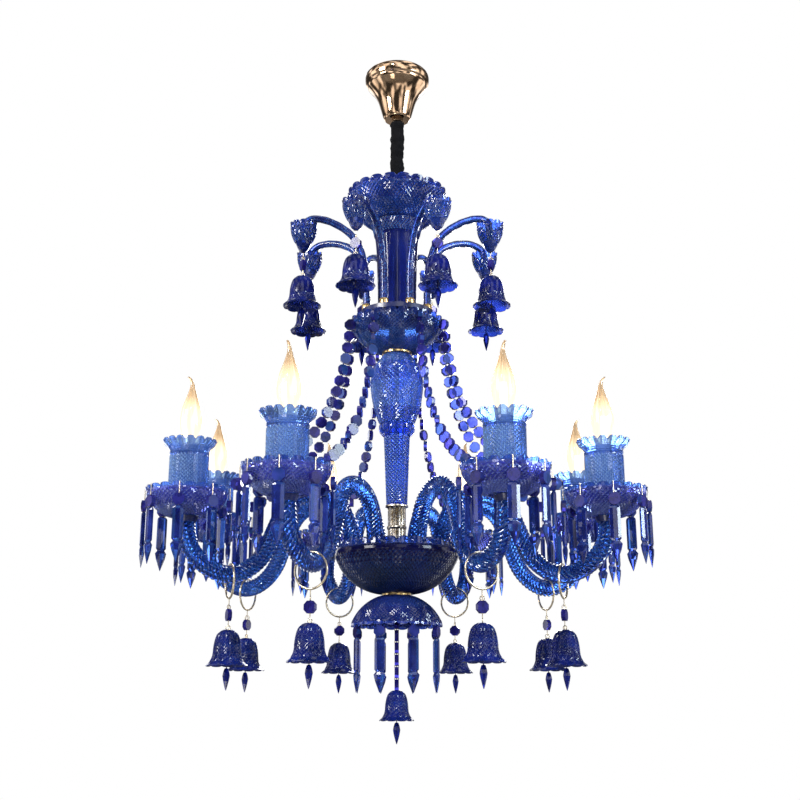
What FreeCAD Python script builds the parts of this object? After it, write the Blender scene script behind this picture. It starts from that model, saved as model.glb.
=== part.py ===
import FreeCAD, Part
import math
import os

import Sketcher

# A cut-glass chandelier with eight candle lights, hung from a ceiling canopy by a sleeved chain.
# Millimetres, +Z up. The origin is the centre of the canopy where it meets the ceiling,
# so every level below is negative. The front of the chandelier faces -Y.

Vector = FreeCAD.Vector
doc = FreeCAD.newDocument("chandelier")
sheet = doc.addObject("Spreadsheet::Sheet", "sizes")

CELLS = [
    # ceiling fitting
    ("canopy_top_radius", 49), ("canopy_radius", 55.5), ("canopy_widest_level", -10),
    ("canopy_shoulder_radius", 48), ("canopy_shoulder_level", -26), ("canopy_waist_radius", 31),
    ("canopy_waist_level", -52), ("canopy_foot_radius", 22), ("canopy_foot_level", -86),
    ("canopy_wall", 1.5),
    ("bracket_length", 88), ("bracket_width", 22), ("bracket_thickness", 2.5),
    ("screw_spacing", 64), ("screw_hole_radius", 2.6),
    ("hook_stem_radius", 4), ("hook_ring_level", -101), ("hook_ring_radius", 7), ("hook_wire", 2),
    ("nut_radius", 10), ("nut_height", 5),
    # chain and its sleeve
    ("link_wire", 1.8), ("link_half_width", 5.6), ("link_straight", 13), ("link_gap", 0.2),
    ("sleeve_radius", 15), ("sleeve_wall", 3), ("sleeve_top_level", -93), ("sleeve_foot_level", -216),
    # stem, from the top down
    ("glass_wall", 4), ("rod_radius", 4), ("rod_clearance", 0.2), ("rod_foot_level", -906),
    ("crown_rim_radius", 83.5), ("crown_rim_level", -225), ("crown_band_radius", 80),
    ("crown_band_level", -239), ("crown_turn_radius", 65), ("crown_turn_level", -266),
    ("trunk_top_radius", 43), ("trunk_top_level", -283), ("trunk_turn_radius", 36),
    ("trunk_turn_level", -309), ("trunk_waist_radius", 33), ("trunk_waist_level", -338),
    ("trunk_foot_radius", 30.4), ("trunk_foot_level", -440),
    ("upper_hub_radius", 61), ("upper_hub_thickness", 8), ("hub_post_radius", 13),
    ("upper_bowl_radius", 77), ("upper_bowl_rim_level", -453), ("upper_bowl_turn_radius", 62),
    ("upper_bowl_turn_level", -483), ("upper_bowl_foot_radius", 24), ("upper_bowl_foot_level", -507),
    ("neck_ring_height", 3),
    ("baluster_neck_radius", 19), ("baluster_radius", 41.6), ("baluster_widest_level", -561),
    ("baluster_shoulder_radius", 35), ("baluster_shoulder_level", -532),
    ("baluster_turn_radius", 37), ("baluster_turn_level", -595),
    ("baluster_foot_radius", 27), ("baluster_foot_level", -626),
    ("collar_radius", 29.5), ("collar_foot_radius", 22), ("collar_foot_level", -647),
    ("stem_tube_top_radius", 20), ("stem_tube_foot_radius", 15.7), ("stem_tube_foot_level", -758),
    ("column_flange_radius", 18), ("column_flange_height", 3), ("column_radius", 15),
    ("arm_hub_radius", 40), ("arm_hub_top_level", -835), ("arm_hub_height", 28),
    ("bowl_rim_radius", 94), ("bowl_rim_level", -818), ("bowl_radius", 96), ("bowl_widest_level", -837),
    ("bowl_turn_radius", 70), ("bowl_turn_level", -876), ("bowl_foot_radius", 20),
    ("bowl_foot_level", -895), ("spacer_radius", 22), ("spacer_height", 4),
    ("dish_top_radius", 16), ("dish_turn_radius", 50), ("dish_turn_level", -916),
    ("dish_rim_radius", 67), ("dish_rim_level", -945),
    ("end_nut_radius", 9), ("end_nut_height", 9), ("end_ring_radius", 5), ("end_ring_wire", 1.3),
    # arms and lights
    ("arm_radius", 13), ("arm_low_level", -882), ("arm_top_level", -804), ("arm_hub_level", -850),
    ("light_circle", 330), ("fitting_radius", 17), ("fitting_height", 8),
    ("bobeche_radius", 61), ("bobeche_rim_level", -755), ("bobeche_turn_radius", 50),
    ("bobeche_turn_level", -778), ("bobeche_foot_radius", 24), ("bobeche_foot_level", -796),
    ("cup_rim_radius", 40), ("cup_rim_level", -683), ("cup_flare_level", -703),
    ("cup_radius", 27.7), ("cup_wall", 3),
    ("socket_radius", 13), ("socket_top_level", -690),
    ("bulb_base_radius", 12), ("bulb_radius", 17.5), ("bulb_widest_level", -655),
    ("bulb_shoulder_radius", 14), ("bulb_shoulder_level", -628), ("bulb_neck_radius", 3),
    ("bulb_neck_level", -598), ("bulb_tip_radius", 1), ("bulb_tip_level", -579),
    # upper tier
    ("upper_arm_radius", 6), ("upper_circle", 163), ("upper_arm_start", 53.5), ("upper_arm_end_level", -333),
    ("trumpet_rim_radius", 22.5), ("trumpet_rim_level", -308), ("trumpet_waist_radius", 19),
    ("trumpet_waist_level", -326), ("trumpet_foot_radius", 8), ("trumpet_foot_level", -358),
    ("trumpet_floor_level", -333), ("trumpet_wall", 2),
    # hanging glass
    ("bead_radius", 5.8), ("bead_thickness", 7), ("pin_radius", 0.7),
    ("prism_length", 80), ("prism_point", 28), ("prism_width", 18), ("prism_thickness", 7),
    ("prism_shoulder", 5), ("bobeche_drop_hang", 20), ("dish_drop_hang", 3), ("drop_gap", 3),
    ("dish_drop_circle", 65), ("bobeche_drop_circle", 62),
    ("swag_top_radius", 81), ("swag_top_level", -460), ("swag_pull_radius", 93),
    ("swag_pull_level", -690), ("swag_end_radius", 268), ("swag_end_level", -746),
    ("swag_pitch", 19.5),
    ("bell_top_radius", 8), ("bell_dome_radius", 18.5), ("bell_rim_radius", 29.5),
    ("bell_height", 50), ("bell_wall", 2.5), ("clapper_radius", 5.5), ("clapper_length", 31),
    ("hoop_wire", 1.6), ("hoop_radius", 24.6), ("hoop_slack", 0.6),
    ("lower_circle", 262), ("lower_bell_top_level", -957),
    ("upper_bell_top_level", -400), ("centre_bell_scale", 0.86), ("centre_bell_top_level", -1040),
]
for row, (alias, value) in enumerate(CELLS, 1):
    sheet.set(f"A{row}", alias)
    sheet.set(f"B{row}", str(value))
    sheet.setAlias(f"B{row}", alias)
doc.recompute()

# The arms stand at these angles from the front, and are mirrored to both sides.
ARM_ANGLES = [25.8, 67.5, 112.5, 157.5]
LIGHT_ANGLES = ARM_ANGLES + [-angle for angle in reversed(ARM_ANGLES)]
UPPER_ANGLES = [22.5 + 45 * step for step in range(8)]


class Size:
    """A length together with the sheet expression that drives it."""

    def __init__(self, value, text):
        self.value = value
        self.text = text

    def __add__(self, other):
        other = as_size(other)
        return Size(self.value + other.value, f"({self.text} + {other.text})")

    def __sub__(self, other):
        other = as_size(other)
        return Size(self.value - other.value, f"({self.text} - {other.text})")

    def __mul__(self, factor):
        factor = as_size(factor)
        return Size(self.value * factor.value, f"({self.text} * {factor.text})")

    def __neg__(self):
        return self * -1


def as_size(number):
    if isinstance(number, Size):
        return number
    return Size(float(number), f"({float(number):.6f})")


class Sheet:
    """Reads a cell of the sheet as a Size: dims.rod_radius."""

    def __getattr__(self, alias):
        return Size(float(sheet.get(alias)), f"sizes.{alias}")


dims = Sheet()


# ---------------------------------------------------------------- ways of making a piece

def arc_geometry(start, middle, end):
    """The circle arc through three points, and whether it runs anticlockwise from start to end."""
    circle = Part.Arc(start, middle, end).toShape().Curve.Center
    spans = [math.atan2(p.y - circle.y, p.x - circle.x) for p in (start, middle, end)]
    anticlockwise = (spans[1] - spans[0]) % (2 * math.pi) < (spans[2] - spans[0]) % (2 * math.pi)
    first, last = (spans[0], spans[2]) if anticlockwise else (spans[2], spans[0])
    round_line = Part.Circle(circle, Vector(0, 0, 1), (start - circle).Length)
    return Part.ArcOfCircle(round_line, first, last), anticlockwise


def draw_outline(sketch, outline):
    """Draws a closed outline of (x, y) sizes. A third entry "arc" marks a point inside an arc."""
    place = [Vector(point[0].value, point[1].value, 0) for point in outline]
    count = len(outline)
    corners = [i for i in range(count) if len(outline[i]) == 2]
    rules = []
    ends = []
    for step, corner in enumerate(corners):
        after = corners[(step + 1) % len(corners)]
        if (after - corner) % count == 2:
            through = (corner + 1) % count
            line, forward = arc_geometry(place[corner], place[through], place[after])
            edge = sketch.addGeometry(line, False)
            mark = sketch.addGeometry(Part.Point(place[through]), True)
            rules.append((Sketcher.Constraint("PointOnObject", mark, 1, edge), None))
            bind_point(rules, mark, 1, outline[through])
            ends.append((edge, 1, 2) if forward else (edge, 2, 1))
        else:
            edge = sketch.addGeometry(Part.LineSegment(place[corner], place[after]), False)
            ends.append((edge, 1, 2))
    for step, corner in enumerate(corners):
        edge, first, last = ends[step]
        following, start, end = ends[(step + 1) % len(corners)]
        rules.append((Sketcher.Constraint("Coincident", edge, last, following, start), None))
        bind_point(rules, edge, first, outline[corner])
    numbers = sketch.addConstraint([rule for rule, text in rules])
    for number, (rule, text) in zip(numbers, rules):
        if text:
            sketch.setExpression(f"Constraints[{number}]", text)


def bind_point(rules, geometry, end, point):
    """Holds one end of a sketch line at the point's sizes, measured from the sketch's origin."""
    for kind, size in zip(("DistanceX", "DistanceY"), point):
        rules.append((Sketcher.Constraint(kind, -1, 1, geometry, end, size.value), size.text))


def new_body(label, plane):
    """An empty PartDesign body and a sketch on one of its own origin planes."""
    body = doc.addObject("PartDesign::Body", label)
    body.Label = label
    sketch = body.newObject("Sketcher::SketchObject", label + "_sketch")
    support = [item for item in body.Origin.OriginFeatures if item.Role == plane][0]
    sketch.AttachmentSupport = (support, [""])
    sketch.MapMode = "FlatFace"
    return body, sketch


def turned(label, outline):
    """A piece turned about the centre line from a closed outline of (radius, level) sizes."""
    body, sketch = new_body(label, "XZ_Plane")
    draw_outline(sketch, [tuple(as_size(v) for v in point[:2]) + tuple(point[2:]) for point in outline])
    turn = body.newObject("PartDesign::Revolution", label + "_turn")
    turn.Profile = sketch
    turn.ReferenceAxis = (sketch, ["V_Axis"])
    turn.Angle = 360
    sketch.Visibility = False
    return body


def walled(outer, wall):
    """Closes an outer outline with an inner one that lies a wall's thickness inside it."""
    inner = []
    for i, point in enumerate(outer):
        before = outer[max(i - 1, 0)]
        after = outer[min(i + 1, len(outer) - 1)]
        run_x = as_size(after[0]).value - as_size(before[0]).value
        run_y = as_size(after[1]).value - as_size(before[1]).value
        length = math.hypot(run_x, run_y)
        across = (run_y / length, -run_x / length)
        if i in (0, len(outer) - 1):
            across = (math.copysign(1, run_y), 0) if abs(run_y) > abs(run_x) else (0, -math.copysign(1, run_x))
        inner.append((point[0] + wall * across[0], point[1] + wall * across[1]) + tuple(point[2:]))
    return list(outer) + list(reversed(inner))


def bent_path(points, radius_share=0.45):
    """Straight runs joined by tangent arcs, each as large as its two runs allow."""
    edges = []
    start = points[0]
    for before, corner, after in zip(points, points[1:], points[2:]):
        run_in = (corner - before)
        run_out = (after - corner)
        turn = run_in.getAngle(run_out)
        reach = radius_share * min(run_in.Length, run_out.Length)
        radius = reach / math.tan(turn / 2)
        first = corner - run_in.normalize() * reach
        last = corner + run_out.normalize() * reach
        inward = (run_out - run_in).normalize()
        middle = corner + inward * (math.hypot(radius, reach) - radius)
        edges.append(Part.LineSegment(start, first).toShape())
        edges.append(Part.Arc(first, middle, last).toShape())
        start = last
    edges.append(Part.LineSegment(start, points[-1]).toShape())
    return Part.Wire(edges)


def bent_tube(label, points, radius):
    """A round bar bent along a path in the X-Z plane."""
    path = bent_path(points)
    along = (points[1] - points[0]).normalize()
    ring = Part.Wire([Part.Circle(points[0], along, radius.value).toShape()])
    piece = doc.addObject("Part::Feature", label)
    piece.Label = label
    piece.Shape = path.makePipeShell([ring], True, False)
    expected = math.pi * radius.value ** 2 * path.Length
    if abs(piece.Shape.Volume / expected - 1) > 0.02:
        raise RuntimeError(f"{label}: the tube's volume isn't its section times its length")
    return piece


def wire_link(label, half_width, straight, wire, across):
    """A long chain link of round wire, centred on the origin; across is its flat direction."""
    w, reach = half_width.value, straight.value / 2
    corners = [(w, -reach), (w, reach), (0, reach + w), (-w, reach), (-w, -reach), (0, -reach - w)]
    spots = [across * x + Vector(0, 0, z) for x, z in corners]
    edges = [Part.LineSegment(spots[0], spots[1]).toShape()]
    edges.append(Part.Arc(spots[1], spots[2], spots[3]).toShape())
    edges.append(Part.LineSegment(spots[3], spots[4]).toShape())
    edges.append(Part.Arc(spots[4], spots[5], spots[0]).toShape())
    ring = Part.Wire([Part.Circle(spots[0], Vector(0, 0, 1), wire.value).toShape()])
    piece = doc.addObject("Part::Feature", label)
    piece.Label = label
    piece.Shape = Part.Wire(edges).makePipeShell([ring], True, False)
    return piece


def cylinder(label, radius, top, foot):
    """An upright round bar between two levels."""
    bar = doc.addObject("Part::Cylinder", label)
    bar.Label = label
    bar.setExpression("Radius", radius.text)
    bar.setExpression("Height", (top - foot).text)
    bar.setExpression("Placement.Base.z", foot.text)
    return bar


def torus(label, ring, wire, level, upright=True):
    """A ring of round wire whose hole faces X when it stands upright."""
    ring_piece = doc.addObject("Part::Torus", label)
    ring_piece.Label = label
    ring_piece.setExpression("Radius1", ring.text)
    ring_piece.setExpression("Radius2", wire.text)
    if upright:
        ring_piece.Placement.Rotation = FreeCAD.Rotation(Vector(0, 1, 0), 90)
    ring_piece.setExpression("Placement.Base.z", level.text)
    return ring_piece


def group(label, members):
    """Joins objects into one node of separate solids."""
    node = doc.addObject("Part::Compound", label)
    node.Label = label
    node.Links = members
    return node


def copy(source, placement):
    """A linked copy of a piece at another place."""
    link = doc.addObject("App::Link", source.Name + "_copy")
    link.LinkedObject = source
    link.LinkTransform = True
    link.Placement = placement
    return link


def facing(angle):
    """The turn that carries the +X direction to a bearing counted from the front (-Y)."""
    return FreeCAD.Placement(Vector(0, 0, 0), FreeCAD.Rotation(Vector(0, 0, 1), angle - 90))


def moved(x, z):
    return FreeCAD.Placement(Vector(x, 0, z), FreeCAD.Rotation())


nodes = []


def keep(piece):
    nodes.append(piece)
    return piece


# ---------------------------------------------------------------- ceiling fitting

hole = dims.rod_radius + dims.rod_clearance
canopy_outer = [
    (dims.canopy_top_radius, as_size(0)),
    (dims.canopy_radius, dims.canopy_widest_level, "arc"),
    (dims.canopy_shoulder_radius, dims.canopy_shoulder_level),
    (dims.canopy_waist_radius, dims.canopy_waist_level, "arc"),
    (dims.canopy_foot_radius, dims.canopy_foot_level),
    (hole, dims.canopy_foot_level),
]
canopy_outline = walled(canopy_outer, dims.canopy_wall)
canopy_outline[-1] = (dims.canopy_top_radius - dims.canopy_wall, as_size(0))
keep(turned("canopy_shell", canopy_outline))

# a flat bar against the ceiling, with two screw holes and a hole for the hook's stem
bar = doc.addObject("Part::Box", "bracket_bar")
bar.setExpression("Length", dims.bracket_length.text)
bar.setExpression("Width", dims.bracket_width.text)
bar.setExpression("Height", dims.bracket_thickness.text)
bar.setExpression("Placement.Base.x", (dims.bracket_length * -0.5).text)
bar.setExpression("Placement.Base.y", (dims.bracket_width * -0.5).text)
bar.setExpression("Placement.Base.z", (-dims.bracket_thickness).text)
drills = []
for side in (-1, 0, 1):
    radius = dims.screw_hole_radius if side else hole
    drill = cylinder(f"bracket_hole_{side + 2}", radius, dims.bracket_thickness, -dims.bracket_thickness * 2)
    drill.setExpression("Placement.Base.x", (dims.screw_spacing * (side / 2)).text)
    drills.append(drill)
bracket = doc.addObject("Part::Cut", "ceiling_bracket")
bracket.Label = "ceiling_bracket"
bracket.Base = bar
bracket.Tool = group("bracket_drills", drills)
keep(bracket)

hook_foot = dims.hook_ring_level + dims.hook_ring_radius
hook = doc.addObject("Part::MultiFuse", "canopy_hook")
hook.Label = "canopy_hook"
hook.Shapes = [
    cylinder("hook_stem", dims.hook_stem_radius, as_size(0), hook_foot),
    torus("hook_ring", dims.hook_ring_radius, dims.hook_wire, dims.hook_ring_level),
]
keep(hook)

nut_foot = dims.canopy_foot_level - dims.nut_height
keep(turned("canopy_nut", [
    (hole, dims.canopy_foot_level), (dims.nut_radius, dims.canopy_foot_level),
    (dims.nut_radius, nut_foot + 1), (dims.nut_radius - 1, nut_foot), (hole, nut_foot),
]))

# ---------------------------------------------------------------- chain and sleeve

LINK_COUNT = 5
link_reach = dims.link_straight * 0.5 + dims.link_half_width
link_top = dims.hook_ring_level - dims.hook_ring_radius + dims.hook_wire + dims.link_wire + dims.link_gap
link_pitch = (link_reach - dims.link_wire) * 2 - dims.link_gap
link_across_x = wire_link("link_x", dims.link_half_width, dims.link_straight, dims.link_wire, Vector(1, 0, 0))
link_across_y = wire_link("link_y", dims.link_half_width, dims.link_straight, dims.link_wire, Vector(0, 1, 0))
links = []
for number in range(LINK_COUNT):
    level = link_top - link_reach - link_pitch * number
    shape = link_across_y if number % 2 else link_across_x
    links.append(copy(shape, moved(0, level.value)))
keep(group("chain_links", links))

keep(turned("chain_sleeve", [
    (dims.sleeve_radius - dims.sleeve_wall, dims.sleeve_top_level),
    (dims.sleeve_radius, dims.sleeve_top_level),
    (dims.sleeve_radius, dims.sleeve_foot_level),
    (dims.sleeve_radius - dims.sleeve_wall, dims.sleeve_foot_level),
]))

# ---------------------------------------------------------------- stem

chain_foot = link_top - link_reach * 2 - link_pitch * (LINK_COUNT - 1)
stem_ring_level = chain_foot + dims.link_wire + dims.hook_wire + dims.link_gap - dims.hook_ring_radius
rod_top = stem_ring_level - dims.hook_ring_radius + dims.hook_wire
stem_ring = torus("stem_ring", dims.hook_ring_radius, dims.hook_wire, stem_ring_level)
centre_rod = doc.addObject("Part::MultiFuse", "centre_rod")
centre_rod.Label = "centre_rod"
centre_rod.Shapes = [stem_ring, cylinder("stem_bar", dims.rod_radius, rod_top - 1.5, dims.rod_foot_level)]
keep(centre_rod)

keep(turned("top_crown", walled([
    (dims.crown_rim_radius, dims.crown_rim_level),
    (dims.crown_band_radius, dims.crown_band_level),
    (dims.crown_turn_radius, dims.crown_turn_level, "arc"),
    (dims.trunk_top_radius, dims.trunk_top_level),
    (hole, dims.trunk_top_level),
], dims.glass_wall)))

keep(turned("trunk_vase", walled([
    (dims.trunk_top_radius, dims.trunk_top_level),
    (dims.trunk_turn_radius, dims.trunk_turn_level, "arc"),
    (dims.trunk_waist_radius, dims.trunk_waist_level),
    (dims.trunk_foot_radius, dims.trunk_foot_level),
    (hole, dims.trunk_foot_level),
], dims.glass_wall)))

bowl_floor = dims.upper_bowl_foot_level + dims.glass_wall
upper_hub_foot = dims.trunk_foot_level - dims.upper_hub_thickness
keep(turned("upper_hub", [
    (hole, dims.trunk_foot_level), (dims.upper_hub_radius, dims.trunk_foot_level),
    (dims.upper_hub_radius, upper_hub_foot), (dims.hub_post_radius, upper_hub_foot),
    (dims.hub_post_radius, bowl_floor), (hole, bowl_floor),
]))

keep(turned("upper_bowl", walled([
    (dims.upper_bowl_radius, dims.upper_bowl_rim_level),
    (dims.upper_bowl_turn_radius, dims.upper_bowl_turn_level, "arc"),
    (dims.upper_bowl_foot_radius, dims.upper_bowl_foot_level),
    (hole, dims.upper_bowl_foot_level),
], dims.glass_wall)))

neck_level = dims.upper_bowl_foot_level - dims.neck_ring_height
keep(turned("neck_ring", [
    (hole, dims.upper_bowl_foot_level), (dims.upper_bowl_foot_radius, dims.upper_bowl_foot_level),
    (dims.upper_bowl_foot_radius, neck_level), (hole, neck_level),
]))

keep(turned("baluster", walled([
    (hole, neck_level), (dims.baluster_neck_radius, neck_level),
    (dims.baluster_shoulder_radius, dims.baluster_shoulder_level, "arc"),
    (dims.baluster_radius, dims.baluster_widest_level),
    (dims.baluster_turn_radius, dims.baluster_turn_level, "arc"),
    (dims.baluster_foot_radius, dims.baluster_foot_level), (hole, dims.baluster_foot_level),
], dims.glass_wall)))

collar_middle = (dims.baluster_foot_level + dims.collar_foot_level) * 0.5
keep(turned("glass_collar", [
    (hole, dims.baluster_foot_level), (dims.baluster_foot_radius, dims.baluster_foot_level),
    (dims.collar_radius, collar_middle, "arc"), (dims.collar_foot_radius, dims.collar_foot_level),
    (hole, dims.collar_foot_level),
]))

keep(turned("stem_tube", walled([
    (dims.stem_tube_top_radius, dims.collar_foot_level),
    (dims.stem_tube_foot_radius, dims.stem_tube_foot_level),
    (hole, dims.stem_tube_foot_level),
], dims.glass_wall)))

flange_foot = dims.stem_tube_foot_level - dims.column_flange_height
keep(turned("metal_column", [
    (hole, dims.stem_tube_foot_level), (dims.column_flange_radius, dims.stem_tube_foot_level),
    (dims.column_flange_radius, flange_foot), (dims.column_radius, flange_foot),
    (dims.column_radius, dims.arm_hub_top_level), (hole, dims.arm_hub_top_level),
]))

hub_foot = dims.arm_hub_top_level - dims.arm_hub_height
main_floor = dims.bowl_foot_level + dims.glass_wall
keep(turned("arm_hub", [
    (hole, dims.arm_hub_top_level), (dims.arm_hub_radius, dims.arm_hub_top_level),
    (dims.arm_hub_radius, hub_foot), (dims.hub_post_radius, hub_foot),
    (dims.hub_post_radius, main_floor), (hole, main_floor),
]))

keep(turned("main_bowl", walled([
    (dims.bowl_rim_radius, dims.bowl_rim_level), (dims.bowl_radius, dims.bowl_widest_level),
    (dims.bowl_turn_radius, dims.bowl_turn_level, "arc"),
    (dims.bowl_foot_radius, dims.bowl_foot_level), (hole, dims.bowl_foot_level),
], dims.glass_wall)))

dish_top = dims.bowl_foot_level - dims.spacer_height
keep(turned("spacer_ring", [
    (hole, dims.bowl_foot_level), (dims.spacer_radius, dims.bowl_foot_level),
    (dims.spacer_radius, dish_top), (hole, dish_top),
]))

keep(turned("lower_dish", walled([
    (hole, dish_top), (dims.dish_top_radius, dish_top),
    (dims.dish_turn_radius, dims.dish_turn_level, "arc"),
    (dims.dish_rim_radius, dims.dish_rim_level),
], dims.glass_wall)))

end_nut_foot = dish_top - dims.glass_wall - dims.end_nut_height
end_ring_level = end_nut_foot - dims.end_ring_radius
end_nut = doc.addObject("Part::MultiFuse", "end_nut")
end_nut.Label = "end_nut"
end_nut.Shapes = [
    turned("end_nut_barrel", [
        (hole, dish_top - dims.glass_wall), (dims.end_nut_radius, dish_top - dims.glass_wall),
        (dims.end_nut_radius, end_nut_foot), (as_size(0), end_nut_foot),
        (as_size(0), dims.rod_foot_level - 0.2), (hole, dims.rod_foot_level - 0.2),
    ]),
    torus("end_nut_ring", dims.end_ring_radius, dims.end_ring_wire, end_ring_level),
]
keep(end_nut)

# ---------------------------------------------------------------- main arms

# Each glass arm leaves the hub, arches over the bowl's rim, dips and climbs to its light.
hub_level = dims.arm_hub_level.value
ARM_ROUTE = [
    (dims.arm_hub_radius.value + 0.2, hub_level), (57, hub_level), (72, -829), (77, -793),
    (98, -759), (139, -745), (177, -761), (196, -806), (216, -856),
    (dims.lower_circle.value - 2, dims.arm_low_level.value), (306, -864),
    (dims.light_circle.value, -830), (dims.light_circle.value, dims.arm_top_level.value),
]
arm_points = [Vector(x, 0, z) for x, z in ARM_ROUTE]
arm = bent_tube("glass_arm", arm_points, dims.arm_radius)
for number, angle in enumerate(LIGHT_ANGLES, 1):
    keep(group(f"arm_{number}", [copy(arm, facing(angle))]))


# ---------------------------------------------------------------- light stations

def at_lights(label, piece):
    """One copy of a piece at each of the eight lights."""
    out = moved(dims.light_circle.value, 0)
    return keep(group(label, [copy(piece, facing(angle).multiply(out)) for angle in LIGHT_ANGLES]))


fitting_top = dims.arm_top_level + dims.fitting_height
at_lights("arm_fittings", turned("arm_fitting", [
    (as_size(0), fitting_top), (dims.fitting_radius, fitting_top),
    (dims.fitting_radius - 3, dims.arm_top_level), (as_size(0), dims.arm_top_level),
]))

at_lights("bobeches", turned("bobeche", walled([
    (dims.bobeche_radius, dims.bobeche_rim_level),
    (dims.bobeche_turn_radius, dims.bobeche_turn_level, "arc"),
    (dims.bobeche_foot_radius, dims.bobeche_foot_level), (as_size(2), dims.bobeche_foot_level),
], dims.glass_wall)))

cup_foot = dims.bobeche_foot_level + dims.glass_wall
at_lights("candle_cups", turned("candle_cup", walled([
    (dims.cup_rim_radius, dims.cup_rim_level),
    (dims.cup_radius, dims.cup_flare_level), (dims.cup_radius, cup_foot + 8),
    (dims.bobeche_foot_radius - 6, cup_foot), (as_size(2), cup_foot),
], dims.cup_wall)))

socket_foot = cup_foot + dims.cup_wall
at_lights("lamp_sockets", cylinder("lamp_socket", dims.socket_radius, dims.socket_top_level, socket_foot))

at_lights("bulbs", turned("bulb", [
    (as_size(0), dims.socket_top_level), (dims.bulb_base_radius, dims.socket_top_level),
    (dims.bulb_radius, dims.bulb_widest_level),
    (dims.bulb_shoulder_radius, dims.bulb_shoulder_level, "arc"),
    (dims.bulb_neck_radius, dims.bulb_neck_level),
    (dims.bulb_tip_radius, dims.bulb_tip_level), (as_size(0), dims.bulb_tip_level),
]))

# ---------------------------------------------------------------- upper tier

circle = dims.upper_circle.value
UPPER_ROUTE = [
    (dims.upper_arm_start.value, dims.trunk_foot_level.value),
    (dims.upper_arm_start.value, -398), (59, -349), (76, -315),
    (107, -298), (138, -293), (160, -301), (circle, -323), (circle, dims.upper_arm_end_level.value),
]
upper_arm = bent_tube("upper_arm", [Vector(x, 0, z) for x, z in UPPER_ROUTE], dims.upper_arm_radius)
keep(group("upper_arms", [copy(upper_arm, facing(angle)) for angle in UPPER_ANGLES]))

trumpet_floor = dims.trumpet_floor_level
trumpet_wall = dims.trumpet_wall
trumpet = turned("trumpet", [
    (dims.trumpet_rim_radius, dims.trumpet_rim_level),
    (dims.trumpet_waist_radius, dims.trumpet_waist_level),
    (dims.trumpet_foot_radius, dims.trumpet_foot_level), (as_size(0), dims.trumpet_foot_level),
    (as_size(0), trumpet_floor), (dims.trumpet_waist_radius - 4, trumpet_floor),
    (dims.trumpet_waist_radius - trumpet_wall, dims.trumpet_waist_level),
    (dims.trumpet_rim_radius - trumpet_wall, dims.trumpet_rim_level),
])
keep(group("trumpet_cups", [copy(trumpet, facing(angle).multiply(moved(circle, 0))) for angle in UPPER_ANGLES]))

# ---------------------------------------------------------------- hanging glass: shared pieces

# a flat faceted bead, lying with its thin way along Z until it is placed
half_bead = dims.bead_thickness * 0.5
bead = turned("bead", [
    (as_size(0), half_bead), (dims.bead_radius * 0.55, half_bead), (dims.bead_radius, half_bead * 0.2),
    (dims.bead_radius, half_bead * -0.2), (dims.bead_radius * 0.55, -half_bead), (as_size(0), -half_bead),
])
upright = FreeCAD.Rotation(Vector(0, 1, 0), 90)

# a spear prism, hanging from the origin
prism, prism_sketch = new_body("prism", "YZ_Plane")
half_width = dims.prism_width * 0.5
prism_corner = dims.prism_length - dims.prism_point
draw_outline(prism_sketch, [
    (-half_width + 3, as_size(0)), (half_width - 3, as_size(0)), (half_width, -dims.prism_shoulder),
    (half_width, -prism_corner), (as_size(0), -dims.prism_length), (-half_width, -prism_corner),
    (-half_width, -dims.prism_shoulder),
])
prism_pad = prism.newObject("PartDesign::Pad", "prism_pad")
prism_pad.Profile = prism_sketch
prism_pad.Midplane = True
prism_pad.setExpression("Length", dims.prism_thickness.text)

pin_short = cylinder("pin_short", dims.pin_radius, as_size(0), -dims.drop_gap)


# ---------------------------------------------------------------- drops on the bobeches and dish

beads, prisms, pins = [], [], []


def hang_drops(tag, spots, hang):
    """Hangs a pin, a bead, a short pin and a prism from each spot."""
    pin_long = cylinder(f"{tag}_long_pin", dims.pin_radius, as_size(0), -hang)
    bead_level = -hang - dims.bead_radius
    bead_foot = bead_level - dims.bead_radius
    bead_turn = FreeCAD.Placement(Vector(0, 0, bead_level.value), upright)
    for spot in spots:
        beads.append(copy(bead, spot.multiply(bead_turn)))
        prisms.append(copy(prism, spot.multiply(moved(0, (bead_foot - dims.drop_gap).value))))
        pins.append(copy(pin_long, spot))
        pins.append(copy(pin_short, spot.multiply(moved(0, bead_foot.value))))


bobeche_spots = []
for angle in LIGHT_ANGLES:
    for step in range(8):
        around = FreeCAD.Rotation(Vector(0, 0, 1), 22.5 + 45 * step)
        ring = FreeCAD.Placement(Vector(dims.light_circle.value, 0, 0), around)
        bobeche_spots.append(facing(angle).multiply(ring).multiply(
            moved(dims.bobeche_drop_circle.value, dims.bobeche_rim_level.value)))
dish_spots = [
    facing(angle).multiply(moved(dims.dish_drop_circle.value, dims.dish_rim_level.value))
    for angle in UPPER_ANGLES
]
hang_drops("bobeche", bobeche_spots, dims.bobeche_drop_hang)
hang_drops("dish", dish_spots, dims.dish_drop_hang)
keep(group("drop_beads", beads))
keep(group("drop_prisms", prisms))
keep(group("drop_pins", pins))

# ---------------------------------------------------------------- swags

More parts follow.
